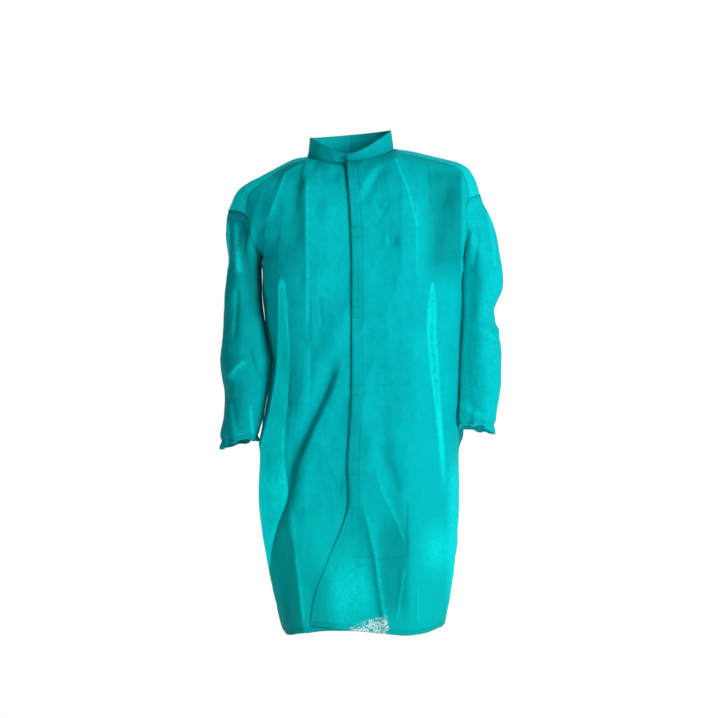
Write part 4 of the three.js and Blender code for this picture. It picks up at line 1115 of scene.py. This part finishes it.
AROUND = 48
for side, word in ((1, "left"), (-1, "right")):
    turns = np.arange(AROUND) / AROUND
    places = np.linspace(0, 14, 62)
    shape = sleeve(side, turns, places)
    a, s = np.meshgrid(turns, places)
    sewn = smooth(0, 0.8, s)
    gather = smooth(11.0, 13.2, s)
    soft = 0.0035 * waves(shape * (1, 1, 0.5), 31 + side, 0.14) * (1 - 0.5 * gather)
    pleat = 0.0024 * gather * np.cos(2 * np.pi * a * 8 + 2 * np.sin(2 * np.pi * a * 2 + side))
    near_body = np.exp(-(((a - 0.5) / 0.12) ** 2)) * (1 - gather)
    out = (soft + crumple(shape, 41 + side) + pleat) * sewn * (1 - 0.9 * near_body)
    start = shape + normals(shape, side, True) * out[..., None]
    inner = np.exp(-(((a - 0.5) / 0.09) ** 2))
    held = np.maximum(np.maximum(np.maximum(0.40, 1 - sewn), 0.8 * gather), 0.9 * inner)
    points = finer(buckled(start, held, (0.01, 0.01, 0.02), True), True)
    a, s = np.meshgrid(np.arange(2 * AROUND) / (2 * AROUND), np.linspace(0, 14, len(points)))
    middle = points.mean(1, keepdims=True)
    ahead = smooth(0.010, -0.020, points[..., 1] - middle[..., 1])
    folds = sum(crease(points[..., 0], points[..., 2], *fold) for fold in SLEEVE_FOLDS[side]) * ahead
    sewn = smooth(0, 0.8, s) * (1 - 0.9 * np.exp(-(((a - 0.5) / 0.12) ** 2)))
    out = (folds + handled(points, 97)) * sewn
    points = points + normals(points, side, True) * out[..., None]
    frill = smooth(CUFF, 14.0, s)
    frill_wave = 0.0030 * frill * (np.cos(2 * np.pi * a * 6 + side) + 0.8)
    tuck = 0.0030 * np.exp(-(((s - CUFF) / 0.30) ** 2))
    out = normals(points, side, True)
    points = points + out * (frill_wave - tuck)[..., None]
    arch = 0.011 * frill * np.maximum(0, np.sin(2 * np.pi * a))
    points[..., 2] += arch + 0.0015 * frill * np.sin(2 * np.pi * a * 5 + side)
    # Dim marks: painted shade in the gathers at the elastic, over the frill beyond it and over the whole
    # right sleeve, and a dark band along the armhole seam.
    cuff_dim = 0.12 * smooth(13.5, 13.7, s) + 0.15 * np.exp(-(((s - CUFF) / 0.25) ** 2))
    marks = {"dim": cuff_dim + SLEEVE_DIM[side] + 0.45 * smooth(0.35, 0.1, s)}
    # Painted light and shade along the creases; a little more painted light on the left sleeve's inner side.
    lines = fine_lines(points[..., 0], points[..., 2], SLEEVE_LINES[side], 0.15)
    marks["dim"] = marks["dim"] - np.minimum(lines * ahead, 0)
    inward = np.exp(-(((a - 0.43) / 0.07) ** 2)) * smooth(1.0, 4.0, s)
    marks["glow"] = np.maximum(lines * ahead, 0) + SLEEVE_GLOW[side] * (1 + 2.5 * inward)
    # Painted shade down a hollow of the right sleeve.
    if side < 0:
        hollow = [(-0.244, -0.150), (-0.240, -0.222), (-0.224, -0.290), (-0.210, -0.360)]
        gap, share = to_line(points[..., 0], points[..., 2], hollow)
        marks["dim"] = marks["dim"] + 0.60 * np.exp(-((gap / 0.017) ** 2)) * smooth(0, 0.2, share)
    piece = cloth_sheet(f"{word}_sleeve_cloth", points, shape, side, (f"{word}_sleeve",), marks,
                        ring=True)
    ox, oz, ix, iz, _, _ = SLEEVES[side][0]
    seam = np.array([(ox + ix) / 2, 0, (oz + iz) / 2])
    way = np.array([side * (oz - iz), 0, -abs(ox - ix)])
    way = way / np.linalg.norm(way)
    ends = (tuple(seam + way * 0.004), tuple(seam + way * 0.075))
    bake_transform(piece)

    out = normals(points, side, True)
    closed = np.concatenate([points, points[:, :1]], 1)
    closed_out = np.concatenate([out, out[:, :1]], 1)
    columns = np.linspace(0, closed.shape[1] - 1, 400)
    rows = [stitched(at_places(closed, np.full(400, level), columns),
                     at_places(closed_out, np.full(400, level), columns)) for level in (0.35, 1.1)]
    stitches = stitch_object(f"{word}_armhole_stitches", rows)
    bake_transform(stitches)

    # the elastic: a narrow ribbed band inside the gathers
    first, last = np.searchsorted(s[:, 0], (CUFF - 0.35, CUFF + 0.25))
    band = points[first - 1:last + 1] - out[first - 1:last + 1] * 0.0012
    band = band + out[first - 1:last + 1] * 0.0003 * np.cos(np.arange(2 * AROUND) * np.pi)[None, :, None]
    ribbon = grid_object(f"{word}_elastic", finer(band, True), side, True)
    thickened(ribbon, ELASTIC)
    ribbon.data.materials.append(elastic)
    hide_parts(f"{word}_cuff_elastic")
    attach(ribbon, f"{word}_arm")

# ---- the studio ----
# A level camera with a long lens, a plain pale floor, a white room that shines only from behind
# the coat, one broad lamp from the coat's left and a weak fill from its right.
CAMERA_AWAY = 4.0
FIELD_WIDTH = 1.6155  # what the picture takes in at the coat's middle
SENSOR = 36.0
FLOOR = -1.50

camera_data = bpy.data.cameras.new("camera")
camera_data.sensor_width = SENSOR
camera_data.lens = SENSOR * CAMERA_AWAY / FIELD_WIDTH
camera = bpy.data.objects.new("camera", camera_data)
camera.location = (0.0135, -CAMERA_AWAY, -0.4635)
camera.rotation_euler = (np.pi / 2, 0, 0)
bpy.context.collection.objects.link(camera)
bpy.context.scene.camera = camera


def area_light(name, place, size, power):
    """A square soft light at place, turned to the coat's middle."""
    data = bpy.data.lights.new(name, "AREA")
    data.size = size
    data.energy = power
    lamp = bpy.data.objects.new(name, data)
    lamp.location = place
    way = np.array(place) - (0, 0, -0.5)
    tilt = np.arctan2(np.hypot(way[0], way[1]), way[2])
    lamp.rotation_euler = (tilt, 0, np.arctan2(way[0], -way[1]))
    lamp.visible_camera = False
    bpy.context.collection.objects.link(lamp)


area_light("key", (2.5, -2.8, 0.55), 1.3, 128)
area_light("fill", (-2.4, -2.6, 0.0), 2.0, 9)

ROOM_LIGHT, BACK_LIGHT = 0.10, 0.90  # the room's light all round, and the white wall behind
world = bpy.data.worlds.new("room")
world.use_nodes = True
tree = world.node_tree
new = Value(tree)
way = new.node("ShaderNodeTexCoord")
behind = new.node("ShaderNodeSeparateXYZ", None, 1, {"Vector": way}).ramp(0.38, 0.58)
seen = new.node("ShaderNodeLightPath")
shine = behind * BACK_LIGHT + ROOM_LIGHT
tree.links.new((shine + seen * (1.0 - shine)).socket, tree.nodes["Background"].inputs["Strength"])
tree.nodes["Background"].inputs["Color"].default_value = (1, 1, 1, 1)
bpy.context.scene.world = world
bpy.context.scene.view_settings.view_transform = "Standard"

floor_paint, tree, shader, new = new_material("floor")
grain = new.noise(new.node("ShaderNodeTexCoord", None, 3), 3.0)
paint = grain.blend((0.90, 0.90, 0.90, 1), (0.93, 0.93, 0.93, 1))
tree.links.new(paint.socket, shader.inputs["Base Color"])
shader.inputs["Roughness"].default_value = 0.9
place = new.node("ShaderNodeTexCoord", None, 3)
apart = new.node("ShaderNodeVectorMath", {"operation": "LENGTH"}, 1, {0: place})
far = apart.ramp(1.9, 3.2).blend((0, 0, 0, 1), (1, 1, 1, 1))
tree.links.new(far.socket, shader.inputs["Emission Color"])
shader.inputs["Emission Strength"].default_value = 0.6
across, away = np.meshgrid(np.linspace(-5, 5, 12), np.linspace(-5, 1.05, 12))
floor = grid_object("floor", np.stack([across, away, FLOOR + 0 * away], -1))
floor.data.materials.append(floor_paint)
